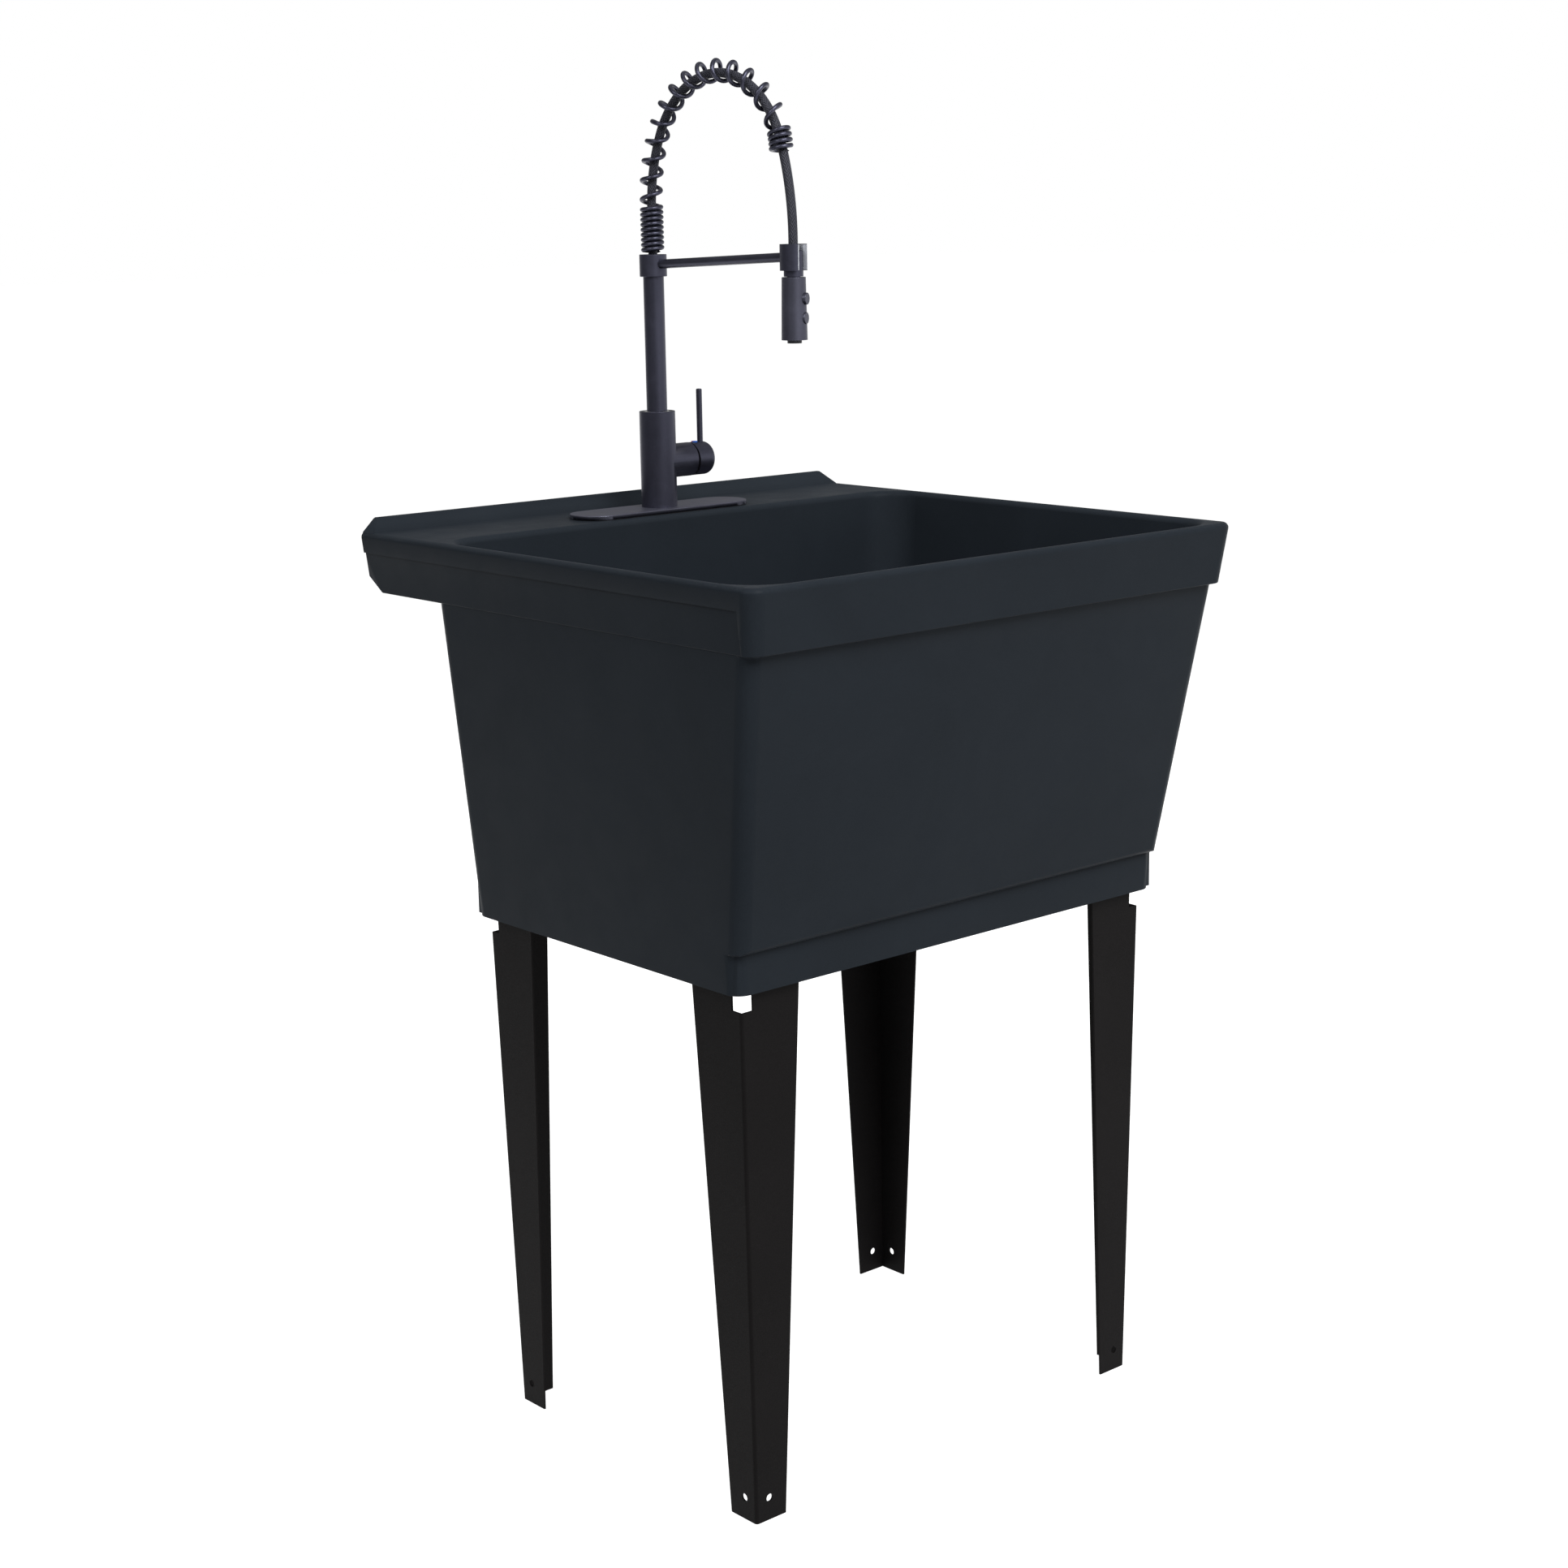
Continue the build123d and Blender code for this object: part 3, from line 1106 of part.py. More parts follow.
def spring_points():
    """Points of the wire: close turns, open turns over the arch, close turns."""
    turns = SPRING_TIGHT_TURNS + SPRING_OPEN_TURNS + SPRING_END_TURNS
    points = []
    distance = SPRING_START
    for step in range(turns * POINTS_PER_TURN + 1):
        angle = 2 * math.pi * step / POINTS_PER_TURN
        y, z, heading = arch_point(distance, SPRING_LINE)
        side = SPRING_MEAN_R * math.cos(angle)
        out = SPRING_MEAN_R * math.sin(angle)
        points.append((side, y + out * math.cos(heading), z + out * math.sin(heading)))
        share = (step / POINTS_PER_TURN - SPRING_TIGHT_TURNS) / SPRING_OPEN_TURNS
        pitch = SPRING_TIGHT_PITCH
        if 0 <= share < 1:
            pitch = SPRING_OPEN_PITCH + share * (SPRING_WIDE_PITCH - SPRING_OPEN_PITCH)
        distance = distance + pitch / POINTS_PER_TURN
    return points


def make_spring():
    """Coil spring wound round the hose over the whole arch."""
    path = Spline(*spring_points())
    section = Plane(origin=path @ 0, z_dir=path % 0) * Circle(SPRING_WIRE_R)
    return sweep(section, path=path, is_frenet=True)


def arch_path(start_z, end_z):
    """Centre line of the hose: up, over the arch and down."""
    pieces = [Line((0, TAP_Y, start_z), (0, TAP_Y, COLLAR_TOP_Z + ARCH_RISE))]
    distance = ARCH_RISE
    for radius, turn in ARCH[1:]:
        length = radius * math.radians(turn)
        ends = [arch_point(distance + length * part) for part in (0, 0.5, 1)]
        pieces.append(ThreePointArc(*[(0, y, z) for y, z, heading in ends]))
        distance = distance + length
    pieces.append(Line((0, SPRAY_Y, ARCH_END_Z), (0, SPRAY_Y, end_z)))
    return Wire(pieces)


def make_hose():
    """Braided spray hose from the riser over the arch to the spray head."""
    path = arch_path(COLLAR_TOP_Z - HOSE_INSERT, HOSE_END_Z)
    section = Plane(origin=path @ 0, z_dir=path % 0) * Circle(HOSE_R)
    return sweep(section, path=path)


def make_hose_guide():
    """Ferrule in the riser that holds the hose's fixed end."""
    top = COLLAR_TOP_Z - COLLAR_CAP - 1
    guide = tube_z(RISER_BORE_R - FIT, HOSE_R + FIT, top - FERRULE_LENGTH, top)
    return Pos(0, TAP_Y, 0) * guide


def make_spray_neck():
    """Swivel nut on the hose's end, held in the ring, with the head's spigot."""
    low = HEAD_TOP_Z + NECK_GAP
    neck = tube_z(NECK_R, 0, low, NECK_TOP_Z)
    neck = fillet(neck.edges().group_by(Axis.Z)[-1], 1.0)
    neck = neck + tube_z(NECK_SPIGOT_R, 0, low - NECK_SPIGOT_LENGTH, low + 1)
    neck = neck - tube_z(HOSE_R + FREE_GAP, 0, HOSE_END_Z - FREE_GAP, NECK_TOP_Z + 1)
    neck = neck - tube_z(CHANNEL_R + 1, 0, low - NECK_SPIGOT_LENGTH - 1, HOSE_END_Z + 1)
    return Pos(0, SPRAY_Y, 0) * neck


def button_front(stand):
    """Distance of a button's outer face from the head's axis."""
    return HEAD_BOTTOM_R + stand


def make_spray_head():
    """Slightly tapered spray head with two button holes, one over the other."""
    height = HEAD_TOP_Z - HEAD_BOTTOM_Z
    middle = (HEAD_TOP_Z + HEAD_BOTTOM_Z) / 2
    head = Pos(0, 0, middle) * Cone(HEAD_BOTTOM_R, HEAD_TOP_R, height)
    head = fillet(head.edges().group_by(Axis.Z)[-1], HEAD_EDGE_R)
    chamber_low = HEAD_BOTTOM_Z + FACE_SETBACK + FACE_THICKNESS
    head = head - tube_z(HEAD_CHAMBER_R, 0, chamber_low - 1, HEAD_CHAMBER_TOP)
    head = head - tube_z(FACE_R + FIT, 0, HEAD_BOTTOM_Z - 1, chamber_low)
    head = head - tube_z(
        NECK_SPIGOT_R + RUN_CLEARANCE, 0, HEAD_CHAMBER_TOP - 1, HEAD_TOP_Z + 1
    )
    for z in (SPRAY_BUTTON_Z, PAUSE_BUTTON_Z):
        head = head - rod_y(BUTTON_R + RUN_CLEARANCE, -2 * HEAD_BOTTOM_R, -NECK_SPIGOT_R + 1, z)
    return Pos(0, SPRAY_Y, 0) * Rot(0, 0, HEAD_TURN) * head


def make_button(z, stand):
    """Round push button that travels towards the head's axis."""
    front = button_front(stand)
    button = rod_y(BUTTON_R, -front, -front + BUTTON_LENGTH, z)
    button = fillet(button.edges().group_by(Axis.Y)[0], BUTTON_EDGE_R)
    return Pos(0, SPRAY_Y, 0) * Rot(0, 0, HEAD_TURN) * button


def make_spray_face():
    """Spray plate with a ring of small jets round the nozzle."""
    z0 = HEAD_BOTTOM_Z + FACE_SETBACK
    face = tube_z(FACE_R, NOZZLE_R + FIT, z0, z0 + FACE_THICKNESS)
    for step in range(FACE_JETS):
        place = Rot(0, 0, 360 / FACE_JETS * step) * Pos(FACE_JET_RING_R, 0, 0)
        face = face - place * tube_z(FACE_JET_R, 0, z0 - 1, z0 + FACE_THICKNESS + 1)
    return Pos(0, SPRAY_Y, 0) * face


def make_nozzle():
    """Middle nozzle with the screen of its aerator."""
    z0 = HEAD_BOTTOM_Z - NOZZLE_STAND
    top = HEAD_BOTTOM_Z + FACE_SETBACK + FACE_THICKNESS
    nozzle = tube_z(NOZZLE_R, NOZZLE_BORE_R, z0, top)
    nozzle = nozzle + tube_z(NOZZLE_BORE_R + 0.5, 0, z0 + 2.4, z0 + 3.4)
    for x in (-3, 0, 3):
        for y in (-3, 0, 3):
            nozzle = nozzle - Pos(x, y, 0) * tube_z(0.9, 0, z0, z0 + 5)
    return Pos(0, SPRAY_Y, 0) * nozzle


NODES = {
    "tub": make_tub,
    "leg_front_left": lambda: make_leg(-1, -1),
    "leg_front_right": lambda: make_leg(1, -1),
    "leg_back_left": lambda: make_leg(-1, 1),
    "leg_back_right": lambda: make_leg(1, 1),
    "leg_screws": make_leg_screws,
    "drain_flange": make_drain_flange,
    "drain_strainer": make_strainer,
    "drain_stopper": make_stopper,
    "drain_washer": make_drain_washer,
    "drain_locknut": make_drain_locknut,
    "tailpiece": make_tailpiece,
    "slip_nut": make_slip_nut,
    "deck_gasket": make_deck_gasket,
    "deck_plate": make_deck_plate,
    "tap_body": make_tap_body,
    "tap_shank": make_shank,
    "tap_rubber_washer": make_rubber_washer,
    "tap_steel_washer": make_steel_washer,
    "tap_mounting_nut": make_mounting_nut,
    "valve_cartridge": make_cartridge,
    "cartridge_retainer": make_retainer,
    "cartridge_carrier": make_carrier,
    "stem_pivot_pin": make_pivot_pin,
    "valve_stem": make_stem,
    "lever_cap": make_lever_cap,
    "lever_rod": make_lever_rod,
    "lever_set_screw": make_set_screw,
    "cold_index": lambda: make_index(-1),
    "hot_index": lambda: make_index(1),
    "swivel_bushing": make_swivel_bushing,
    "riser_tube": make_riser,
    "riser_seals": make_orings,
    "riser_collar": make_collar,
    "collar_screw": make_collar_screw,
    "support_arm": make_arm,
    "holder_ring": make_holder_ring,
    "holder_liner": make_holder_liner,
    "coil_spring": make_spring,
    "spray_hose": make_hose,
    "hose_ferrule": make_hose_guide,
    "spray_neck": make_spray_neck,
    "spray_head": make_spray_head,
    "spray_face": make_spray_face,
    "spray_nozzle": make_nozzle,
    "spray_button": lambda: make_button(SPRAY_BUTTON_Z, SPRAY_BUTTON_STAND),
    "pause_button": lambda: make_button(PAUSE_BUTTON_Z, PAUSE_BUTTON_STAND),
}

os.makedirs("parts", exist_ok=True)
for name, make in NODES.items():
    export_step(make(), "parts/" + name + ".step")
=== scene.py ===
"""Looks of a utility laundry sink with a spring-arch tap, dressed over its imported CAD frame.

Metres. X right, Y towards the wall, Z up, the origin on the floor under the rim's centre.
"""

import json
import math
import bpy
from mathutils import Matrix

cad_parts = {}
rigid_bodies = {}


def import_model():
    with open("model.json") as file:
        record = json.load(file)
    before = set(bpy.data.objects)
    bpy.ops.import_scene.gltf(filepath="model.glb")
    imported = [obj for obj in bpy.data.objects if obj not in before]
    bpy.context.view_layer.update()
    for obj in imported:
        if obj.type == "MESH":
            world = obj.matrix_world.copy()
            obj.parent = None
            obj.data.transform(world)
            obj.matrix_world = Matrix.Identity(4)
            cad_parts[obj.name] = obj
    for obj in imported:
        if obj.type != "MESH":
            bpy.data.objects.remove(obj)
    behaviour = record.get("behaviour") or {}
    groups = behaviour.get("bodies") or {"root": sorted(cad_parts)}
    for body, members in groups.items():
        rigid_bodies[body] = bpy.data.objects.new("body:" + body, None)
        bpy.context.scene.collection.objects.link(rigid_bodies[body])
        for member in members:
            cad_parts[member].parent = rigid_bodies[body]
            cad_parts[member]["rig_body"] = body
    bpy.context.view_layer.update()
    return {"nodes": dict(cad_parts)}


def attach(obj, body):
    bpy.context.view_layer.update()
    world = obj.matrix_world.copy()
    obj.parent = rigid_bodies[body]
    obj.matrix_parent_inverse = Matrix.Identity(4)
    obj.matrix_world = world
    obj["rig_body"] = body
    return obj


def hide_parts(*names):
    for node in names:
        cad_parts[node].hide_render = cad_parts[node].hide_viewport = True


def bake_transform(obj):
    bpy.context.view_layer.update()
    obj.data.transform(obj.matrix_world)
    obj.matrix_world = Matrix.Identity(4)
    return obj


bl_info = {
    "name": "Utility laundry sink",
    "version": (1, 0, 0),
    "blender": (4, 5, 0),
    "location": "3D View > Sidebar > Sink",
    "description": "Dresses the packed sink: moulded tub, powder-coated legs and spring-arch tap",
    "category": "Object",
}

import bmesh
import bpy
import numpy as np
from bpy.props import FloatProperty, FloatVectorProperty, IntProperty, PointerProperty
from mathutils import Matrix, Vector

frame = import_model()
NODES = frame["nodes"]
IMAGE_SIDE = 1932

# Where the tap's arch runs, as in the part's source: metres and degrees.
TAP_Y = 0.204
COLLAR_TOP_Z = 1.1083
ARCH_RISE = 0.0429
ARCH_ARCS = ((0.1614, 25.7), (0.0958, 135.3), (0.271, 19.0))
SPRING_RISE = 0.0538
SPRING_ARCS = ((0.139, 24.5), (0.0988, 114.9), (0.066, 45.0))
SPRING_START = 0.0024
TIGHT_PITCH = 0.0048
OPEN_PITCH = 0.0172     # first open turn
WIDE_PITCH = 0.0244     # last open turn
TIGHT_TURNS = 9
OPEN_TURNS = 14
END_TURNS = 4
SPRING_RADIUS = 0.00935
POINTS_PER_TURN = 28
WIRE_END_ROWS = 4
WIRE_END_SHARE = 0.15   # thickness of the wire's cut ends
HOSE_START_DROP = 0.040
HOSE_END_Z = 1.096
HOSE_ROWS = 420
HOSE_SIDES = 28


# ---- surfaces ---------------------------------------------------------------


def arch_at(distance, rise=ARCH_RISE, arcs=ARCH_ARCS):
    """Arch centre line: straight up for the rise, then one tangent arc after another.

    On an arc of radius R the heading h grows by step / R, and the point turns round the
    arc's centre. Takes an array of distances from the collar, gives y, z and h arrays.
    A negative distance goes straight down below the collar.
    """
    left = np.asarray(distance, float).copy()
    y = np.full_like(left, TAP_Y)
    z = np.full_like(left, COLLAR_TOP_Z)
    heading = np.zeros_like(left)
    step = np.minimum(left, rise)
    z = z + step
    left = left - step
    for radius, degrees in arcs:
        step = np.clip(left, 0.0, radius * math.radians(degrees))
        turned = heading + step / radius
        y = y - radius * np.cos(heading) + radius * np.cos(turned)
        z = z - radius * np.sin(heading) + radius * np.sin(turned)
        heading = turned
        left = left - step
    left = np.maximum(left, 0.0)
    return y - np.sin(heading) * left, z + np.cos(heading) * left, heading


def arch_length():
    """Length of the arch from the collar to where it hangs straight down."""
    return ARCH_RISE + sum(radius * math.radians(degrees) for radius, degrees in ARCH_ARCS)


def mesh_from_grid(name, grid, close_ring=True, caps=True):
    """Mesh of a grid of points, rows by columns, the columns joined round and the ends closed."""
    rows, columns = grid.shape[:2]
    index = np.arange(rows * columns).reshape(rows, columns)
    following = np.roll(index, -1, axis=1)
    last = columns if close_ring else columns - 1
    quads = np.stack(
        (index[:-1, :last], following[:-1, :last], following[1:, :last], index[1:, :last]), axis=-1
    ).reshape(-1, 4)
    faces = quads.tolist()
    if caps:
        faces.append(index[0, ::-1].tolist())
        faces.append(index[-1].tolist())
    mesh = bpy.data.meshes.new(name)
    mesh.from_pydata(grid.reshape(-1, 3).tolist(), [], faces)
    mesh.validate()
    return mesh


def put(name, mesh, angle=40.0):
    """Object for a mesh, linked to the scene, smooth but for edges sharper than the angle."""
    made = bpy.data.objects.new(name, mesh)
    bpy.context.scene.collection.objects.link(made)
    mesh.polygons.foreach_set("use_smooth", np.ones(len(mesh.polygons), bool))
    if angle:
        mesh.set_sharp_from_angle(angle=math.radians(angle))
    return made


def tube_grid(centres, normals, radii, sides):
    """Tube round a line: centre + r (cos a N + sin a B) at each point, B = T x N."""
    tangent = np.gradient(centres, axis=0)
    tangent /= np.linalg.norm(tangent, axis=1)[:, None]
    normal = normals - (normals * tangent).sum(1)[:, None] * tangent
    normal /= np.linalg.norm(normal, axis=1)[:, None]
    binormal = np.cross(tangent, normal)
    angle = np.linspace(0.0, 2 * math.pi, sides, endpoint=False)
    ring = np.cos(angle)[None, :, None] * normal[:, None, :]
    ring = ring + np.sin(angle)[None, :, None] * binormal[:, None, :]
    return centres[:, None, :] + radii[:, None, None] * ring


def uv_round(mesh, columns, along, around):
    """UV map of a tube grid: u runs along the line and v round it, in metres."""
    layer = mesh.uv_layers.new(name="UVMap")
    vertex = np.zeros(len(mesh.loops), np.int64)
    mesh.loops.foreach_get("vertex_index", vertex)
    row = vertex // columns
    column = (vertex % columns).astype(float)
    starts = np.zeros(len(mesh.polygons), np.int64)
    mesh.polygons.foreach_get("loop_start", starts)
    totals = np.zeros(len(mesh.polygons), np.int64)
    mesh.polygons.foreach_get("loop_total", totals)
    owner = np.repeat(np.arange(len(mesh.polygons)), totals)
    high = np.maximum.reduceat(column, starts)[owner]
    column = np.where((high > columns - 1.5) & (column < 0.5), columns, column)
    uv = np.stack((along[row], column / columns * around), axis=-1)
    layer.data.foreach_set("uv", uv.astype(np.float32).ravel())


# ---- materials --------------------------------------------------------------


def worked(tree, operation, *values):
    """Result of a Math node; each value is a number or a socket."""
    node = tree.nodes.new("ShaderNodeMath")
    node.operation = operation
    for socket, value in zip(node.inputs, values):
        if isinstance(value, (int, float)):
            socket.default_value = value
        else:
            tree.links.new(value, socket)
    return node.outputs["Value"]


class Finish:
    """A Principled material with object coordinates at hand, and short calls to wire nodes."""

    def __init__(self, name):
        self.material = bpy.data.materials.new(name)
        self.material.use_nodes = True
        self.tree = self.material.node_tree
        self.nodes = self.tree.nodes
        self.shader = self.nodes["Principled BSDF"]
        self.place = self.add("ShaderNodeTexCoord").outputs["Object"]
        self.height = None

    def gloss(self, level):
        """How strongly the surface mirrors, as the specular level."""
        self.shader.inputs["Specular IOR Level"].default_value = level

    def add(self, kind, **values):
        """A new node with some of its values set."""
        node = self.nodes.new(kind)
        for key, value in values.items():
            setattr(node, key, value)
        return node

    def link(self, source, target):
        """Join an output to an input."""
        self.tree.links.new(source, target)

    def stretched(self, scale):
        """Object coordinates multiplied by a scale for each axis."""
        mapping = self.add("ShaderNodeMapping")
        mapping.inputs["Scale"].default_value = scale
        self.link(self.place, mapping.inputs["Vector"])
        return mapping.outputs["Vector"]

    def noise(self, scale, detail=3.0, roughness=0.55, vector=None, distortion=0.0):
        """Cloudy noise from 0 to 1."""
        node = self.add("ShaderNodeTexNoise")
        self.link(vector or self.place, node.inputs["Vector"])
        node.inputs["Scale"].default_value = scale
        node.inputs["Detail"].default_value = detail
        node.inputs["Roughness"].default_value = roughness
        node.inputs["Distortion"].default_value = distortion
        return node.outputs["Fac"]

    def cells(self, scale):
        """Distance to the middle of the nearest grain."""
        node = self.add("ShaderNodeTexVoronoi", feature="F1")
        self.link(self.place, node.inputs["Vector"])
        node.inputs["Scale"].default_value = scale
        return node.outputs["Distance"]

    def span(self, value, low, high, to_low=0.0, to_high=1.0):
        """Map a value from one range to another, clamped."""
        node = self.add("ShaderNodeMapRange")
        self.link(value, node.inputs["Value"])
        for key, number in (
            ("From Min", low),
            ("From Max", high),
            ("To Min", to_low),
            ("To Max", to_high),
        ):
            node.inputs[key].default_value = number
        return node.outputs["Result"]

    def sums(self, operation, first, second):
        """One sum of two values, each a number or a socket."""
        return worked(self.tree, operation, first, second)

    def mix(self, share, first, second):
        """Mix two colours by a share; either may be a tuple or a socket."""
        node = self.add("ShaderNodeMix", data_type="RGBA")
        if isinstance(share, (int, float)):
            node.inputs["Factor"].default_value = share
        else:
            self.link(share, node.inputs["Factor"])
        for key, value in (("A", first), ("B", second)):
            socket = [s for s in node.inputs if s.name == key and s.type == "RGBA"][0]
            if isinstance(value, tuple):
                socket.default_value = value
            else:
                self.link(value, socket)
        return [s for s in node.outputs if s.type == "RGBA"][0]

    def colour(self, value):
        """Base colour from a socket."""
        self.link(value, self.shader.inputs["Base Color"])

    def rough(self, value):
        """Roughness from a socket."""
        self.link(value, self.shader.inputs["Roughness"])

    def bump(self, height, distance, strength=1.0):
        """Add a bump layer on top of those before it."""
        node = self.add("ShaderNodeBump")
        node.inputs["Distance"].default_value = distance
        node.inputs["Strength"].default_value = strength
        self.link(height, node.inputs["Height"])
        if self.height is not None:
            self.link(self.height, node.inputs["Normal"])
        self.height = node.outputs["Normal"]
        self.link(self.height, self.shader.inputs["Normal"])


def shade(colour, factor):
    """The colour made lighter or darker by a factor, with alpha 1."""
    return tuple(min(1.0, c * factor) for c in colour[:3]) + (1.0,)


def moulded_plastic(
    name, colour, roughness, grain=1400.0, depth=0.00006, mottle=0.10, gloss=0.25
):
    """Moulded plastic: leathery fine grain, faint flow clouds, and duller and shinier patches."""
    made = Finish(name)
    clouds = made.noise(7.0, 5.0, 0.6, distortion=0.6)
    fine = made.noise(grain, 2.0, 0.6)
    share = made.span(clouds, 0.3, 0.7)
    base = made.mix(share, shade(colour, 1.0 - mottle), shade(colour, 1.0 + mottle))
    specks = made.span(fine, 0.35, 0.7, 0.0, 0.35)
    made.colour(made.mix(specks, base, shade(colour, 1.35)))
    patch = made.span(made.noise(26.0, 4.0, 0.6), 0.3, 0.7, roughness - 0.05, roughness + 0.05)
    made.rough(made.sums("ADD", patch, made.span(fine, 0.3, 0.7, -0.03, 0.03)))
    made.bump(made.noise(60.0, 2.0), 0.00012, 0.35)
    made.bump(fine, depth, 0.6)
    made.gloss(gloss)
    return made


def powder_coat(name, colour, roughness, grain=900.0):
    """Baked powder coat: orange-peel bumps, with painted highlight specks where the grain stands
    up.
    """
    made = Finish(name)
    peel = made.noise(grain, 3.0, 0.6)
    dots = made.cells(grain * 1.1)
    base = made.mix(
        made.span(made.noise(11.0, 4.0), 0.3, 0.7), shade(colour, 0.88), shade(colour, 1.14)
    )
    # Lighter specks at the middles of the grain's cells: painted highlight on the grain.
    lit = made.span(dots, 0.0, 0.5, 0.5, 0.0)
    made.colour(made.mix(lit, base, shade(colour, 2.1)))
    made.rough(made.span(peel, 0.3, 0.7, roughness - 0.08, roughness + 0.08))
    made.bump(peel, 0.00012, 0.7)
    made.bump(dots, 0.00008, 0.5)
    made.gloss(0.06)
    return made


def satin_black(name, colour, roughness, metallic=0.75):
    """Satin coated metal: very fine even grain, soft handling marks."""
    made = Finish(name)
    fine = made.noise(2600.0, 2.0)
    soft = made.noise(34.0, 5.0, 0.6, distortion=0.8)
    base = made.mix(made.span(soft, 0.3, 0.7), shade(colour, 0.92), shade(colour, 1.10))
    made.colour(made.mix(made.span(fine, 0.4, 0.75, 0.0, 0.3), base, shade(colour, 1.5)))
    made.rough(made.span(soft, 0.3, 0.7, roughness - 0.05, roughness + 0.06))
    made.bump(fine, 0.00002, 0.5)
    made.shader.inputs["Metallic"].default_value = metallic
    made.gloss(0.20)
    return made


def turned_metal(name, colour, roughness, metallic=1.0, stretch=(900.0, 900.0, 12.0)):
    """Brushed or turned metal: long fine lines from stretched noise, with duller patches."""
    made = Finish(name)
    lines = made.noise(1.0, 4.0, 0.7, made.stretched(stretch))
    worn = made.noise(55.0, 5.0, 0.6)
    base = made.mix(made.span(lines, 0.3, 0.7), shade(colour, 0.86), shade(colour, 1.08))
    made.colour(made.mix(made.span(worn, 0.45, 0.8, 0.0, 0.35), base, shade(colour, 0.7)))
    made.rough(made.span(lines, 0.3, 0.7, roughness - 0.08, roughness + 0.10))
    made.shader.inputs["Metallic"].default_value = metallic
    made.bump(lines, 0.00002, 0.6)
    return made


def soft_rubber(name, colour):
    """Rubber: dull, with bloom in clouds and small pits."""
    made = Finish(name)
    bloom = made.noise(40.0, 5.0, 0.65)
    pits = made.cells(1300.0)
    made.colour(
        made.mix(made.span(bloom, 0.35, 0.75), shade(colour, 0.8), shade(colour, 2.2))
    )
    made.rough(made.span(bloom, 0.3, 0.7, 0.62, 0.78))
    made.bump(pits, 0.00006, 0.5)
    return made


def braided_sleeve(name, colour, pitch=0.0034, around=12.0, girth=0.0277):
    """Braid on the piece's own UV map: two crossing sets of strands that pass over and under.

    Each strand's height is |sin| of one of the two diagonals u/pitch +- v around/girth,
    and a checker of the two diagonals says which set lies on top.
    """
    made = Finish(name)
    uv = made.add("ShaderNodeUVMap", uv_map="UVMap").outputs["UV"]
    split = made.add("ShaderNodeSeparateXYZ")
    made.link(uv, split.inputs["Vector"])
    along = made.sums("MULTIPLY", split.outputs["X"], math.pi / pitch)
    turn = made.sums("MULTIPLY", split.outputs["Y"], math.pi * around / girth)
    first = made.sums("ADD", along, turn)
    second = made.sums("SUBTRACT", along, turn)
    ridge_a = made.sums("ABSOLUTE", made.sums("SINE", first, 0.0), 0.0)
    ridge_b = made.sums("ABSOLUTE", made.sums("SINE", second, 0.0), 0.0)
    half_a = made.sums("SINE", made.sums("MULTIPLY", first, 0.5), 0.0)
    half_b = made.sums("SINE", made.sums("MULTIPLY", second, 0.5), 0.0)
    over = made.span(made.sums("MULTIPLY", half_a, half_b), -0.15, 0.15)
    weave = made.sums(
        "ADD",
        made.sums("MULTIPLY", ridge_a, over),
        made.sums("MULTIPLY", ridge_b, made.sums("SUBTRACT", 1.0, over)),
    )
    thread = made.noise(3000.0, 2.0)
    # Darker down between the strands and lighter on their tops, following the weave's height:
    # painted shade in the gaps and painted highlight on the strands.
    base = made.mix(made.span(weave, 0.25, 0.9), shade(colour, 0.22), shade(colour, 1.7))
    made.colour(made.mix(made.span(thread, 0.4, 0.7, 0.0, 0.25), base, shade(colour, 2.2)))
    made.rough(made.span(weave, 0.0, 1.0, 0.62, 0.42))
    made.bump(weave, 0.0005, 0.8)
    made.bump(thread, 0.00005, 0.4)
    made.gloss(0.2)
    return made


# ---- settings that a user would change --------------------------------------


def paint(name, value, words):
    """A colour property."""
    return FloatVectorProperty(
        name=name, description=words, subtype="COLOR", size=3, min=0.0, max=1.0, default=value
    )


class SinkTubSettings(bpy.types.PropertyGroup):
    """Sizes and colours of the tub and its stand."""

    plastic: paint("Tub plastic", (0.0185, 0.0232, 0.0295), "Colour of the moulded tub")
    plastic_roughness: FloatProperty(
        name="Tub roughness", description="How dull the tub is", default=0.42, min=0.0, max=1.0
    )
    coat: paint("Leg coat", (0.0072, 0.0064, 0.0066), "Colour of the legs' powder coat")
    grain: FloatProperty(
        name="Grain depth",
        description="Height of the moulded grain",
        default=0.00006,
        subtype="DISTANCE",
        unit="LENGTH",
    )


class SinkTapSettings(bpy.types.PropertyGroup):
    """Sizes and colours of the tap."""

    coat: paint("Tap coat", (0.0600, 0.0610, 0.0870), "Colour of the tap's satin coat")
    plate: paint("Plate coat", (0.1080, 0.1100, 0.1450), "Colour of the deck plate")
    grip: paint("Spray plastic", (0.0760, 0.0770, 0.1040), "Colour of the spray head")
    braid: paint("Hose braid", (0.0360, 0.0370, 0.0480), "Colour of the hose's braid")
    cold: paint("Cold mark", (0.0200, 0.1200, 0.5000), "Colour of the cold mark")
    hot: paint("Hot mark", (0.5000, 0.0200, 0.0200), "Colour of the hot mark")
    wire_radius: FloatProperty(
        name="Spring wire",
        description="Radius of the spring's wire",
        default=0.00215,
        subtype="DISTANCE",
        unit="LENGTH",
    )
    hose_radius: FloatProperty(
        name="Hose radius",
        description="Radius of the braided hose",
        default=0.0044,
        subtype="DISTANCE",
        unit="LENGTH",
    )
    wire_sides: IntProperty(
        name="Wire sides", description="Faces round the spring's wire", default=14, min=6
    )


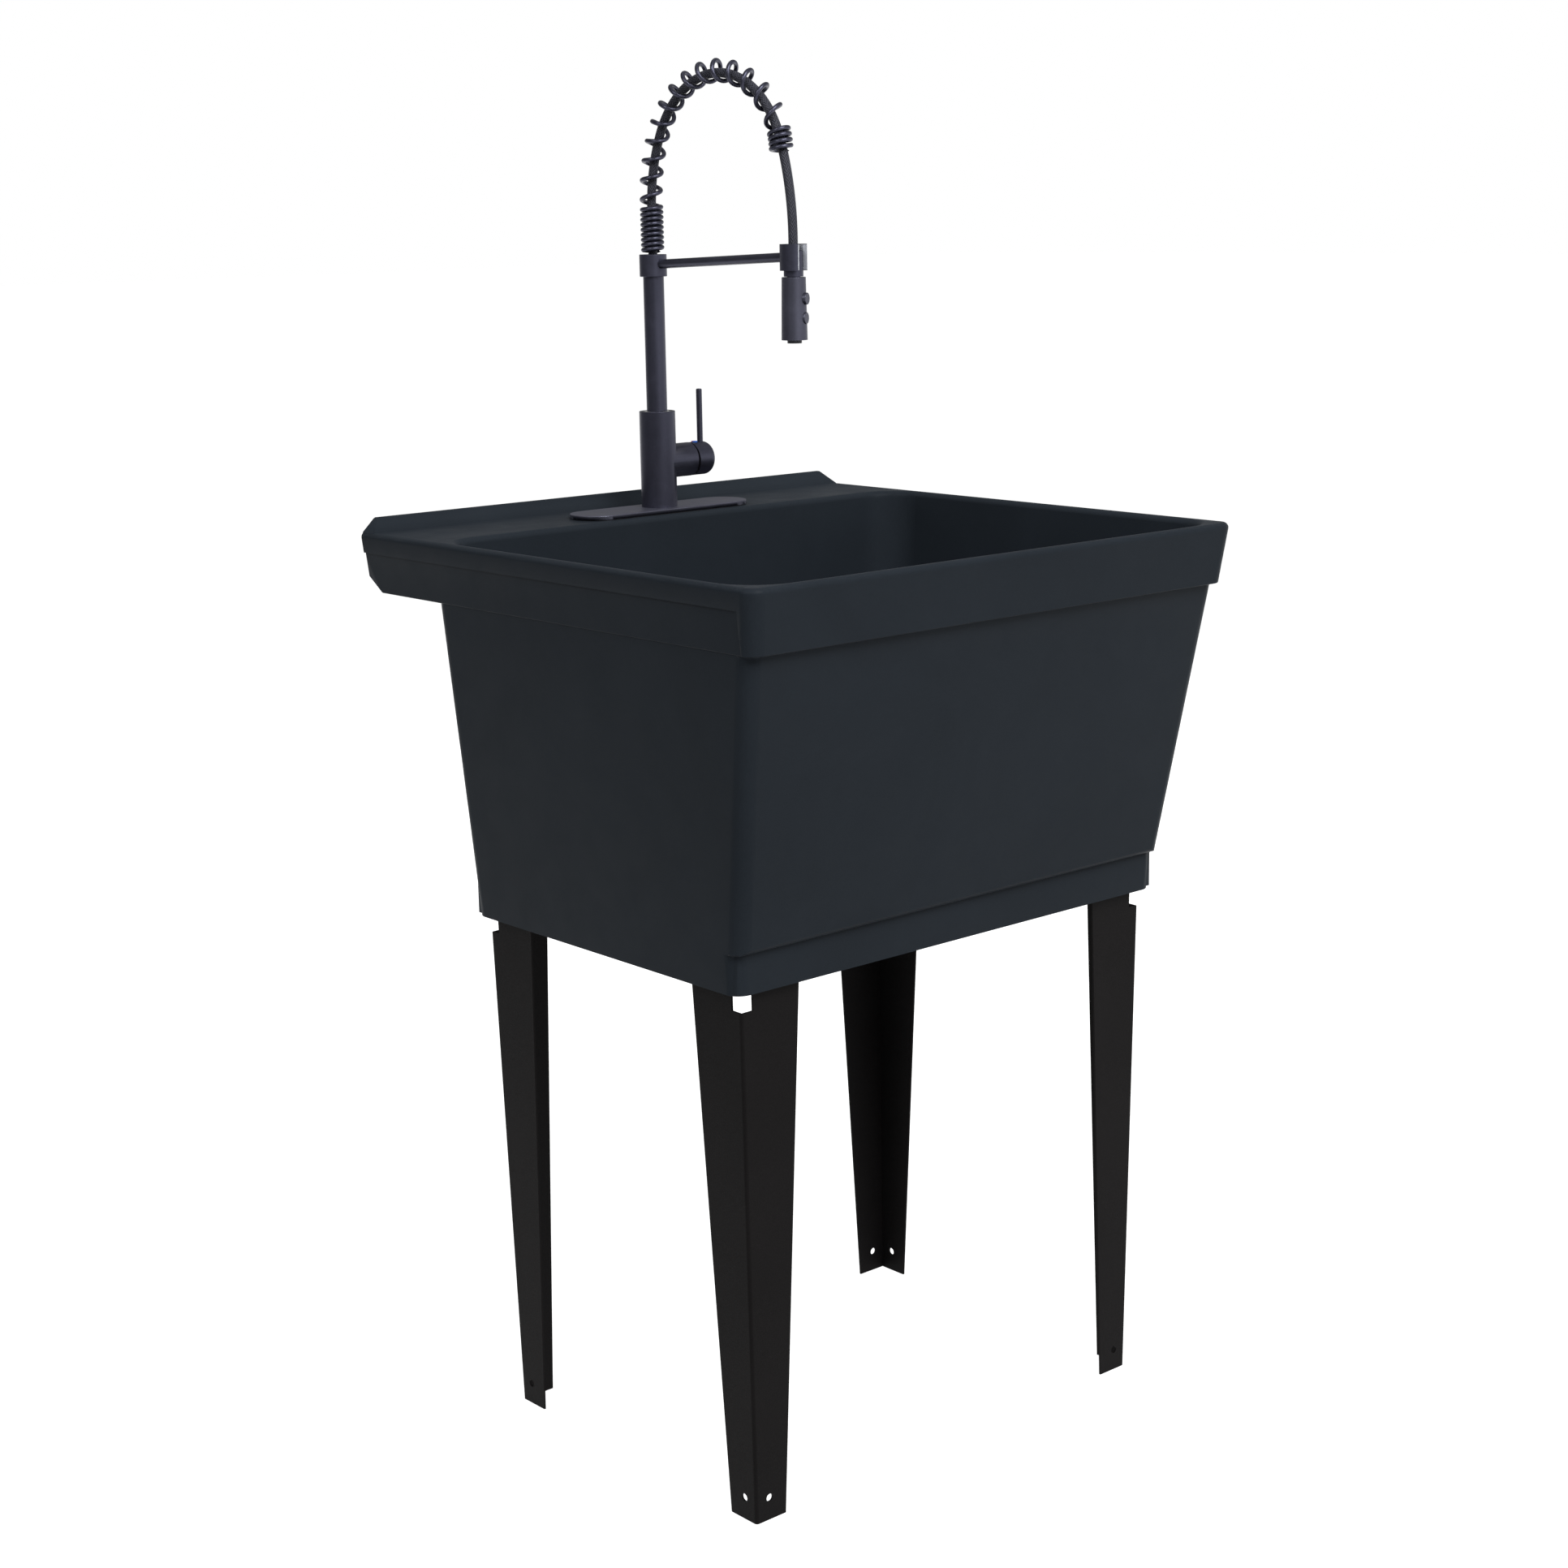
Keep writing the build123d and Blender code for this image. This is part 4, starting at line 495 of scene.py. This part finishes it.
class SinkStageSettings(bpy.types.PropertyGroup):
    """Floor, lights and camera."""

    floor: paint("Floor", (0.36, 0.36, 0.36), "Colour of the pale floor")
    key_power: FloatProperty(
        name="Key light", description="Power of the large front light", default=124.0, unit="POWER"
    )
    fill: FloatProperty(
        name="Fill", description="Strength of the even light all round", default=0.25, min=0.0
    )


def settings(group):
    """The scene's settings of one group."""
    return getattr(bpy.context.scene, "sink_" + group)


# ---- dressing of CAD nodes --------------------------------------------------


def dress(finish, *nodes):
    """Give CAD nodes a finish in all their material slots."""
    for node in nodes:
        slots = NODES[node].data.materials
        if not slots:
            slots.append(finish.material)
        for number in range(len(slots)):
            slots[number] = finish.material


def smooth_copy(node, name, finish, angle=32.0):
    """A merged and smoothed copy of a CAD node that stands for it.

    The copy has the node's own points with doubles merged, smooth shading up to the angle
    and normals weighted by face area, so flat faces stay flat beside their round edges.
    """
    work = bmesh.new()
    work.from_mesh(NODES[node].data)
    bmesh.ops.remove_doubles(work, verts=work.verts, dist=1e-6)
    mesh = bpy.data.meshes.new(name)
    work.to_mesh(mesh)
    work.free()
    mesh.materials.clear()
    mesh.materials.append(finish.material)
    made = put(name, mesh, angle)
    weighted = made.modifiers.new("Even normals", "WEIGHTED_NORMAL")
    weighted.keep_sharp = True
    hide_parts(node)
    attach(made, NODES[node]["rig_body"])
    return made


class SINK_OT_tub(bpy.types.Operator):
    """Moulded tub with fine leathery grain"""

    bl_idname = "sink.tub"
    bl_label = "Tub"

    def execute(self, context):
        look = settings("tub")
        plastic = moulded_plastic(
            "Tub plastic", look.plastic, look.plastic_roughness, depth=look.grain, gloss=0.04
        )
        smooth_copy("tub", "tub_shell", plastic)
        return {"FINISHED"}


class SINK_OT_legs(bpy.types.Operator):
    """Folded legs in powder coat, and the screws that hold them"""

    bl_idname = "sink.legs"
    bl_label = "Legs"

    def execute(self, context):
        coat = powder_coat("Leg powder coat", settings("tub").coat, 0.55)
        dress(coat, "leg_front_left", "leg_front_right", "leg_back_left", "leg_back_right")
        screw = turned_metal("Blackened screw", (0.06, 0.06, 0.06), 0.42, 0.8)
        dress(screw, "leg_screws")
        return {"FINISHED"}


class SINK_OT_drain(bpy.types.Operator):
    """Drain pieces in brushed steel, rubber and white plastic"""

    bl_idname = "sink.drain"
    bl_label = "Drain"

    def execute(self, context):
        steel = turned_metal("Brushed steel", (0.60, 0.60, 0.59), 0.28, stretch=(700, 700, 40))
        rubber = soft_rubber("Black rubber", (0.018, 0.018, 0.019))
        white = moulded_plastic("White plastic", (0.72, 0.72, 0.70), 0.45, mottle=0.03)
        dress(steel, "drain_flange", "drain_strainer")
        dress(rubber, "drain_stopper", "drain_washer")
        dress(white, "drain_locknut", "tailpiece", "slip_nut")
        return {"FINISHED"}


class SINK_OT_tap_base(bpy.types.Operator):
    """Tap body, deck plate and what clamps them to the deck"""

    bl_idname = "sink.tap_base"
    bl_label = "Tap base"

    def execute(self, context):
        look = settings("tap")
        coat = satin_black("Tap coat", look.coat, 0.36)
        smooth_copy("tap_body", "tap_body_shell", coat)
        plate_coat = satin_black("Plate coat", look.plate, 0.45)
        smooth_copy("deck_plate", "deck_plate_shell", plate_coat)
        dress(coat, "riser_tube", "riser_collar", "support_arm", "holder_ring", "spray_neck")
        dress(coat, "lever_cap", "lever_rod")
        brass = turned_metal("Cast brass", (0.52, 0.38, 0.16), 0.34)
        dress(brass, "tap_shank", "tap_mounting_nut", "cartridge_retainer", "hose_ferrule")
        dress(soft_rubber("Gasket foam", (0.015, 0.015, 0.016)), "deck_gasket", "riser_seals")
        dress(soft_rubber("Washer rubber", (0.02, 0.02, 0.02)), "tap_rubber_washer")
        steel = turned_metal("Zinc steel", (0.35, 0.35, 0.36), 0.38)
        dress(steel, "tap_steel_washer", "lever_set_screw", "collar_screw", "stem_pivot_pin")
        dress(steel, "valve_stem", "cartridge_carrier")
        white = moulded_plastic("Valve plastic", (0.62, 0.62, 0.60), 0.4, mottle=0.03)
        dress(white, "valve_cartridge", "swivel_bushing")
        return {"FINISHED"}


class SINK_OT_marks(bpy.types.Operator):
    """Blue and red halves of the round index plug"""

    bl_idname = "sink.marks"
    bl_label = "Marks"

    def execute(self, context):
        look = settings("tap")
        dress(moulded_plastic("Cold blue", look.cold, 0.35, mottle=0.04), "cold_index")
        dress(moulded_plastic("Hot red", look.hot, 0.35, mottle=0.04), "hot_index")
        return {"FINISHED"}


class SINK_OT_spray(bpy.types.Operator):
    """Spray head, its face, nozzle and buttons"""

    bl_idname = "sink.spray"
    bl_label = "Spray head"

    def execute(self, context):
        look = settings("tap")
        grip = satin_black("Spray plastic", look.grip, 0.40)
        dress(grip, "spray_head", "spray_button", "pause_button")
        grey = moulded_plastic("Nozzle grey", (0.16, 0.16, 0.18), 0.45, mottle=0.04)
        dress(grey, "spray_face", "spray_nozzle")
        liner = moulded_plastic("Liner grey", (0.56, 0.58, 0.63), 0.25, mottle=0.04, gloss=0.5)
        dress(liner, "holder_liner")
        return {"FINISHED"}


class SINK_OT_spring(bpy.types.Operator):
    """Coil spring over the arch, wound from round wire"""

    bl_idname = "sink.spring"
    bl_label = "Coil spring"

    def execute(self, context):
        look = settings("tap")
        turns = TIGHT_TURNS + OPEN_TURNS + END_TURNS
        turn = np.linspace(0.0, turns, turns * POINTS_PER_TURN + 1)
        tight = np.minimum(turn, TIGHT_TURNS)
        opened = np.clip(turn - TIGHT_TURNS, 0.0, OPEN_TURNS)
        ending = np.maximum(turn - TIGHT_TURNS - OPEN_TURNS, 0.0)
        growth = (WIDE_PITCH - OPEN_PITCH) * opened / (2 * OPEN_TURNS)
        distance = SPRING_START + (tight + ending) * TIGHT_PITCH + opened * (OPEN_PITCH + growth)
        y, z, heading = arch_at(distance, SPRING_RISE, SPRING_ARCS)
        angle = 2 * math.pi * turn
        outward = np.stack(
            (np.cos(angle), np.sin(angle) * np.cos(heading), np.sin(angle) * np.sin(heading)), 1
        )
        centre = np.stack((np.zeros_like(y), y, z), 1) + SPRING_RADIUS * outward
        radii = np.full(len(turn), look.wire_radius)
        cut = np.maximum(np.sqrt(np.linspace(0.0, 1.0, WIRE_END_ROWS)), WIRE_END_SHARE)
        radii[:WIRE_END_ROWS] *= cut
        radii[-WIRE_END_ROWS:] *= cut[::-1]
        grid = tube_grid(centre, outward, radii, look.wire_sides)
        spring = put("coil_spring_wire", mesh_from_grid("coil_spring_wire", grid), 60.0)
        finish = satin_black("Spring coat", look.coat, 0.30)
        spring.data.materials.append(finish.material)
        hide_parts("coil_spring")
        bend_with_pull(spring)
        return {"FINISHED"}


def bend_with_pull(piece):
    """Bake the piece's placement into its mesh.

    The arch's end point is worked out but not used; the piece does not bend as the spray is
    pulled.
    """
    y, z, heading = arch_at(np.array([arch_length()]))
    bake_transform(piece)


class SINK_OT_hose(bpy.types.Operator):
    """Braided spray hose inside the spring"""

    bl_idname = "sink.hose"
    bl_label = "Spray hose"

    def execute(self, context):
        look = settings("tap")
        total = arch_length()
        y, z, heading = arch_at(np.array([total]))
        reach = total + float(z[0]) - HOSE_END_Z
        distance = np.linspace(-HOSE_START_DROP, reach, HOSE_ROWS)
        y, z, heading = arch_at(distance)
        centre = np.stack((np.zeros_like(y), y, z), 1)
        outward = np.stack((np.zeros_like(y), np.cos(heading), np.sin(heading)), 1)
        radii = np.full(HOSE_ROWS, look.hose_radius)
        grid = tube_grid(centre, outward, radii, HOSE_SIDES)
        mesh = mesh_from_grid("spray_hose_braid", grid)
        uv_round(mesh, HOSE_SIDES, distance, 2 * math.pi * look.hose_radius)
        hose = put("spray_hose_braid", mesh, 60.0)
        finish = braided_sleeve("Hose braid", look.braid)
        hose.data.materials.append(finish.material)
        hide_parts("spray_hose")
        bend_with_pull(hose)
        return {"FINISHED"}


# ---- stage ------------------------------------------------------------------

CAMERA_PLACE = (-1.652823, -1.877779, 1.157716)
CAMERA_AZIMUTH = 41.018
CAMERA_ELEVATION = 12.361
CAMERA_ROLL = -1.0
CAMERA_PIXELS = 3280.98      # focal length in pixels of the photo
SENSOR_MM = 36.0
FLOOR_REACH = 40.0
FLOOR_GLOW = 0.93
# Name, place, width and share of the key light's power.
LAMPS = (
    ("front_softbox", (-0.3, -2.8, 3.4), 2.4, 1.0),
    ("side_softbox", (-2.8, -0.6, 3.0), 1.6, 0.27),
    ("top_softbox", (0.3, 0.2, 3.6), 2.4, 0.04),
)
# These light the far sides and don't show in mirror rays.
DULL_LAMPS = (
    ("right_softbox", (3.2, 0.2, 2.0), 2.0, 0.45),
    ("back_softbox", (-0.2, 3.4, 2.0), 2.0, 0.45),
)


def seen_straight(tree, mirrored):
    """1 for camera and glass rays, and the given share for mirror rays.

    The rays that light the object see 0.
    """
    path = tree.nodes.new("ShaderNodeLightPath")
    glossy = worked(tree, "MULTIPLY", path.outputs["Is Glossy Ray"], mirrored)
    straight = worked(tree, "MAXIMUM", path.outputs["Is Camera Ray"], glossy)
    return worked(tree, "MAXIMUM", straight, path.outputs["Is Transmission Ray"])


def fade(tree, value, dark, white, least=0.0):
    """From the least share at one value to 1 at the other."""
    node = tree.nodes.new("ShaderNodeMapRange")
    ends = (("From Min", dark), ("From Max", white), ("To Min", least), ("To Max", 1.0))
    for key, number in ends:
        node.inputs[key].default_value = number
    tree.links.new(value, node.inputs["Value"])
    return node.outputs["Result"]


def split_place(tree, source):
    """X, Y and Z of one of the texture coordinates."""
    split = tree.nodes.new("ShaderNodeSeparateXYZ")
    coordinates = tree.nodes.new("ShaderNodeTexCoord").outputs[source]
    tree.links.new(coordinates, split.inputs["Vector"])
    return split.outputs


class SINK_OT_stage(bpy.types.Operator):
    """Pale floor, white backdrop, soft lights and the camera"""

    bl_idname = "sink.stage"
    bl_label = "Stage"

    def execute(self, context):
        look = settings("stage")
        scene = context.scene
        self.world(scene, look)
        self.floor(look)
        for name, place, size, share in LAMPS:
            self.lamp(name, place, (0, 0, 0.8), size, look.key_power * share)
        for name, place, size, share in DULL_LAMPS:
            lamp = self.lamp(name, place, (0, 0, 0.7), size, look.key_power * share)
            lamp.visible_glossy = False
        self.camera(scene)
        scene.view_settings.view_transform = "Standard"
        return {"FINISHED"}

    def world(self, scene, look):
        """White to the camera; mirror rays see white low in front and dark on the left."""
        world = bpy.data.worlds.new("Studio")
        scene.world = world
        world.use_nodes = True
        tree = world.node_tree
        background = tree.nodes["Background"]
        way = split_place(tree, "Generated")
        level = worked(tree, "MULTIPLY_ADD", way["Y"], 0.25, way["Z"])
        wall = fade(tree, level, 0.3, 0.03)
        side = fade(tree, way["X"], -0.85, -0.25)
        share = seen_straight(tree, worked(tree, "MULTIPLY", wall, side))
        even = worked(tree, "MULTIPLY", fade(tree, way["X"], -0.9, -0.2, 0.5), look.fill)
        strength = tree.nodes.new("ShaderNodeMapRange")
        tree.links.new(even, strength.inputs["To Min"])
        strength.inputs["To Max"].default_value = 1.0
        tree.links.new(share, strength.inputs["Value"])
        tree.links.new(strength.outputs["Result"], background.inputs["Strength"])
        background.inputs["Color"].default_value = (1.0, 1.0, 1.0, 1.0)

    def floor(self, look):
        """A wide flat floor that looks white and keeps the object's shadow."""
        near = [[-FLOOR_REACH, -FLOOR_REACH, 0], [FLOOR_REACH, -FLOOR_REACH, 0]]
        far = [[-FLOOR_REACH, FLOOR_REACH, 0], [FLOOR_REACH, FLOOR_REACH, 0]]
        grid = np.array([near, far], float)
        mesh = mesh_from_grid("floor", grid, close_ring=False, caps=False)
        floor = put("floor", mesh, 0)
        material = bpy.data.materials.new("Pale floor")
        material.use_nodes = True
        tree = material.node_tree
        shader = tree.nodes["Principled BSDF"]
        shader.inputs["Base Color"].default_value = (*look.floor, 1.0)
        shader.inputs["Roughness"].default_value = 0.9
        shader.inputs["Specular IOR Level"].default_value = 0.0
        shader.inputs["Emission Color"].default_value = (1.0, 1.0, 1.0, 1.0)
        side = fade(tree, split_place(tree, "Object")["X"], -3.5, -0.6, 0.15)
        glow = worked(tree, "MULTIPLY", seen_straight(tree, side), FLOOR_GLOW)
        tree.links.new(glow, shader.inputs["Emission Strength"])
        mesh.materials.append(material)

    def lamp(self, name, place, aim, size, power):
        """A round area light at a place, turned to face the aim."""
        light = bpy.data.lights.new(name, "AREA")
        light.shape = "DISK"
        light.size = size
        light.energy = power
        made = bpy.data.objects.new(name, light)
        bpy.context.scene.collection.objects.link(made)
        made.location = place
        direction = Vector(aim) - Vector(place)
        made.rotation_euler = direction.to_track_quat("-Z", "Y").to_euler()
        return made

    def camera(self, scene):
        """The camera as solved from the photo's edges."""
        azimuth = math.radians(CAMERA_AZIMUTH)
        elevation = math.radians(CAMERA_ELEVATION)
        roll = math.radians(CAMERA_ROLL)
        forward = Vector(
            (
                math.sin(azimuth) * math.cos(elevation),
                math.cos(azimuth) * math.cos(elevation),
                -math.sin(elevation),
            )
        )
        level = Vector((math.cos(azimuth), -math.sin(azimuth), 0.0))
        upright = level.cross(forward)
        right = math.cos(roll) * level + math.sin(roll) * upright
        up = math.cos(roll) * upright - math.sin(roll) * level
        data = bpy.data.cameras.new("Photo camera")
        data.sensor_width = SENSOR_MM
        data.lens = CAMERA_PIXELS / IMAGE_SIDE * SENSOR_MM
        data.clip_end = 100.0
        camera = bpy.data.objects.new("Photo camera", data)
        scene.collection.objects.link(camera)
        turned = Matrix((right, up, -forward)).transposed().to_4x4()
        turned.translation = Vector(CAMERA_PLACE)
        camera.matrix_world = turned
        scene.camera = camera


# ---- add-on -----------------------------------------------------------------

PIECES = (
    SINK_OT_tub,
    SINK_OT_legs,
    SINK_OT_drain,
    SINK_OT_tap_base,
    SINK_OT_marks,
    SINK_OT_spray,
    SINK_OT_spring,
    SINK_OT_hose,
    SINK_OT_stage,
)
GROUPS = {"tub": SinkTubSettings, "tap": SinkTapSettings, "stage": SinkStageSettings}


class SINK_PT_pieces(bpy.types.Panel):
    """Buttons for the sink's pieces and stage"""

    bl_idname = "SINK_PT_pieces"
    bl_label = "Utility sink"
    bl_space_type = "VIEW_3D"
    bl_region_type = "UI"
    bl_category = "Sink"

    def draw(self, context):
        for operator in PIECES:
            self.layout.operator(operator.bl_idname)
        for name in GROUPS:
            group = getattr(context.scene, "sink_" + name)
            for key in group.__annotations__:
                self.layout.prop(group, key)


def register():
    """Register the classes and hang the settings on the scene."""
    for each in (*GROUPS.values(), *PIECES, SINK_PT_pieces):
        bpy.utils.register_class(each)
    for name, group in GROUPS.items():
        setattr(bpy.types.Scene, "sink_" + name, PointerProperty(type=group))


def unregister():
    """Take the settings and the classes away again."""
    for name in GROUPS:
        delattr(bpy.types.Scene, "sink_" + name)
    for each in reversed((*GROUPS.values(), *PIECES, SINK_PT_pieces)):
        bpy.utils.unregister_class(each)


def main():
    """Build every piece and the stage."""
    register()
    for operator in PIECES:
        group, name = operator.bl_idname.split(".")
        getattr(getattr(bpy.ops, group), name)()


if __name__ == "__main__":
    main()
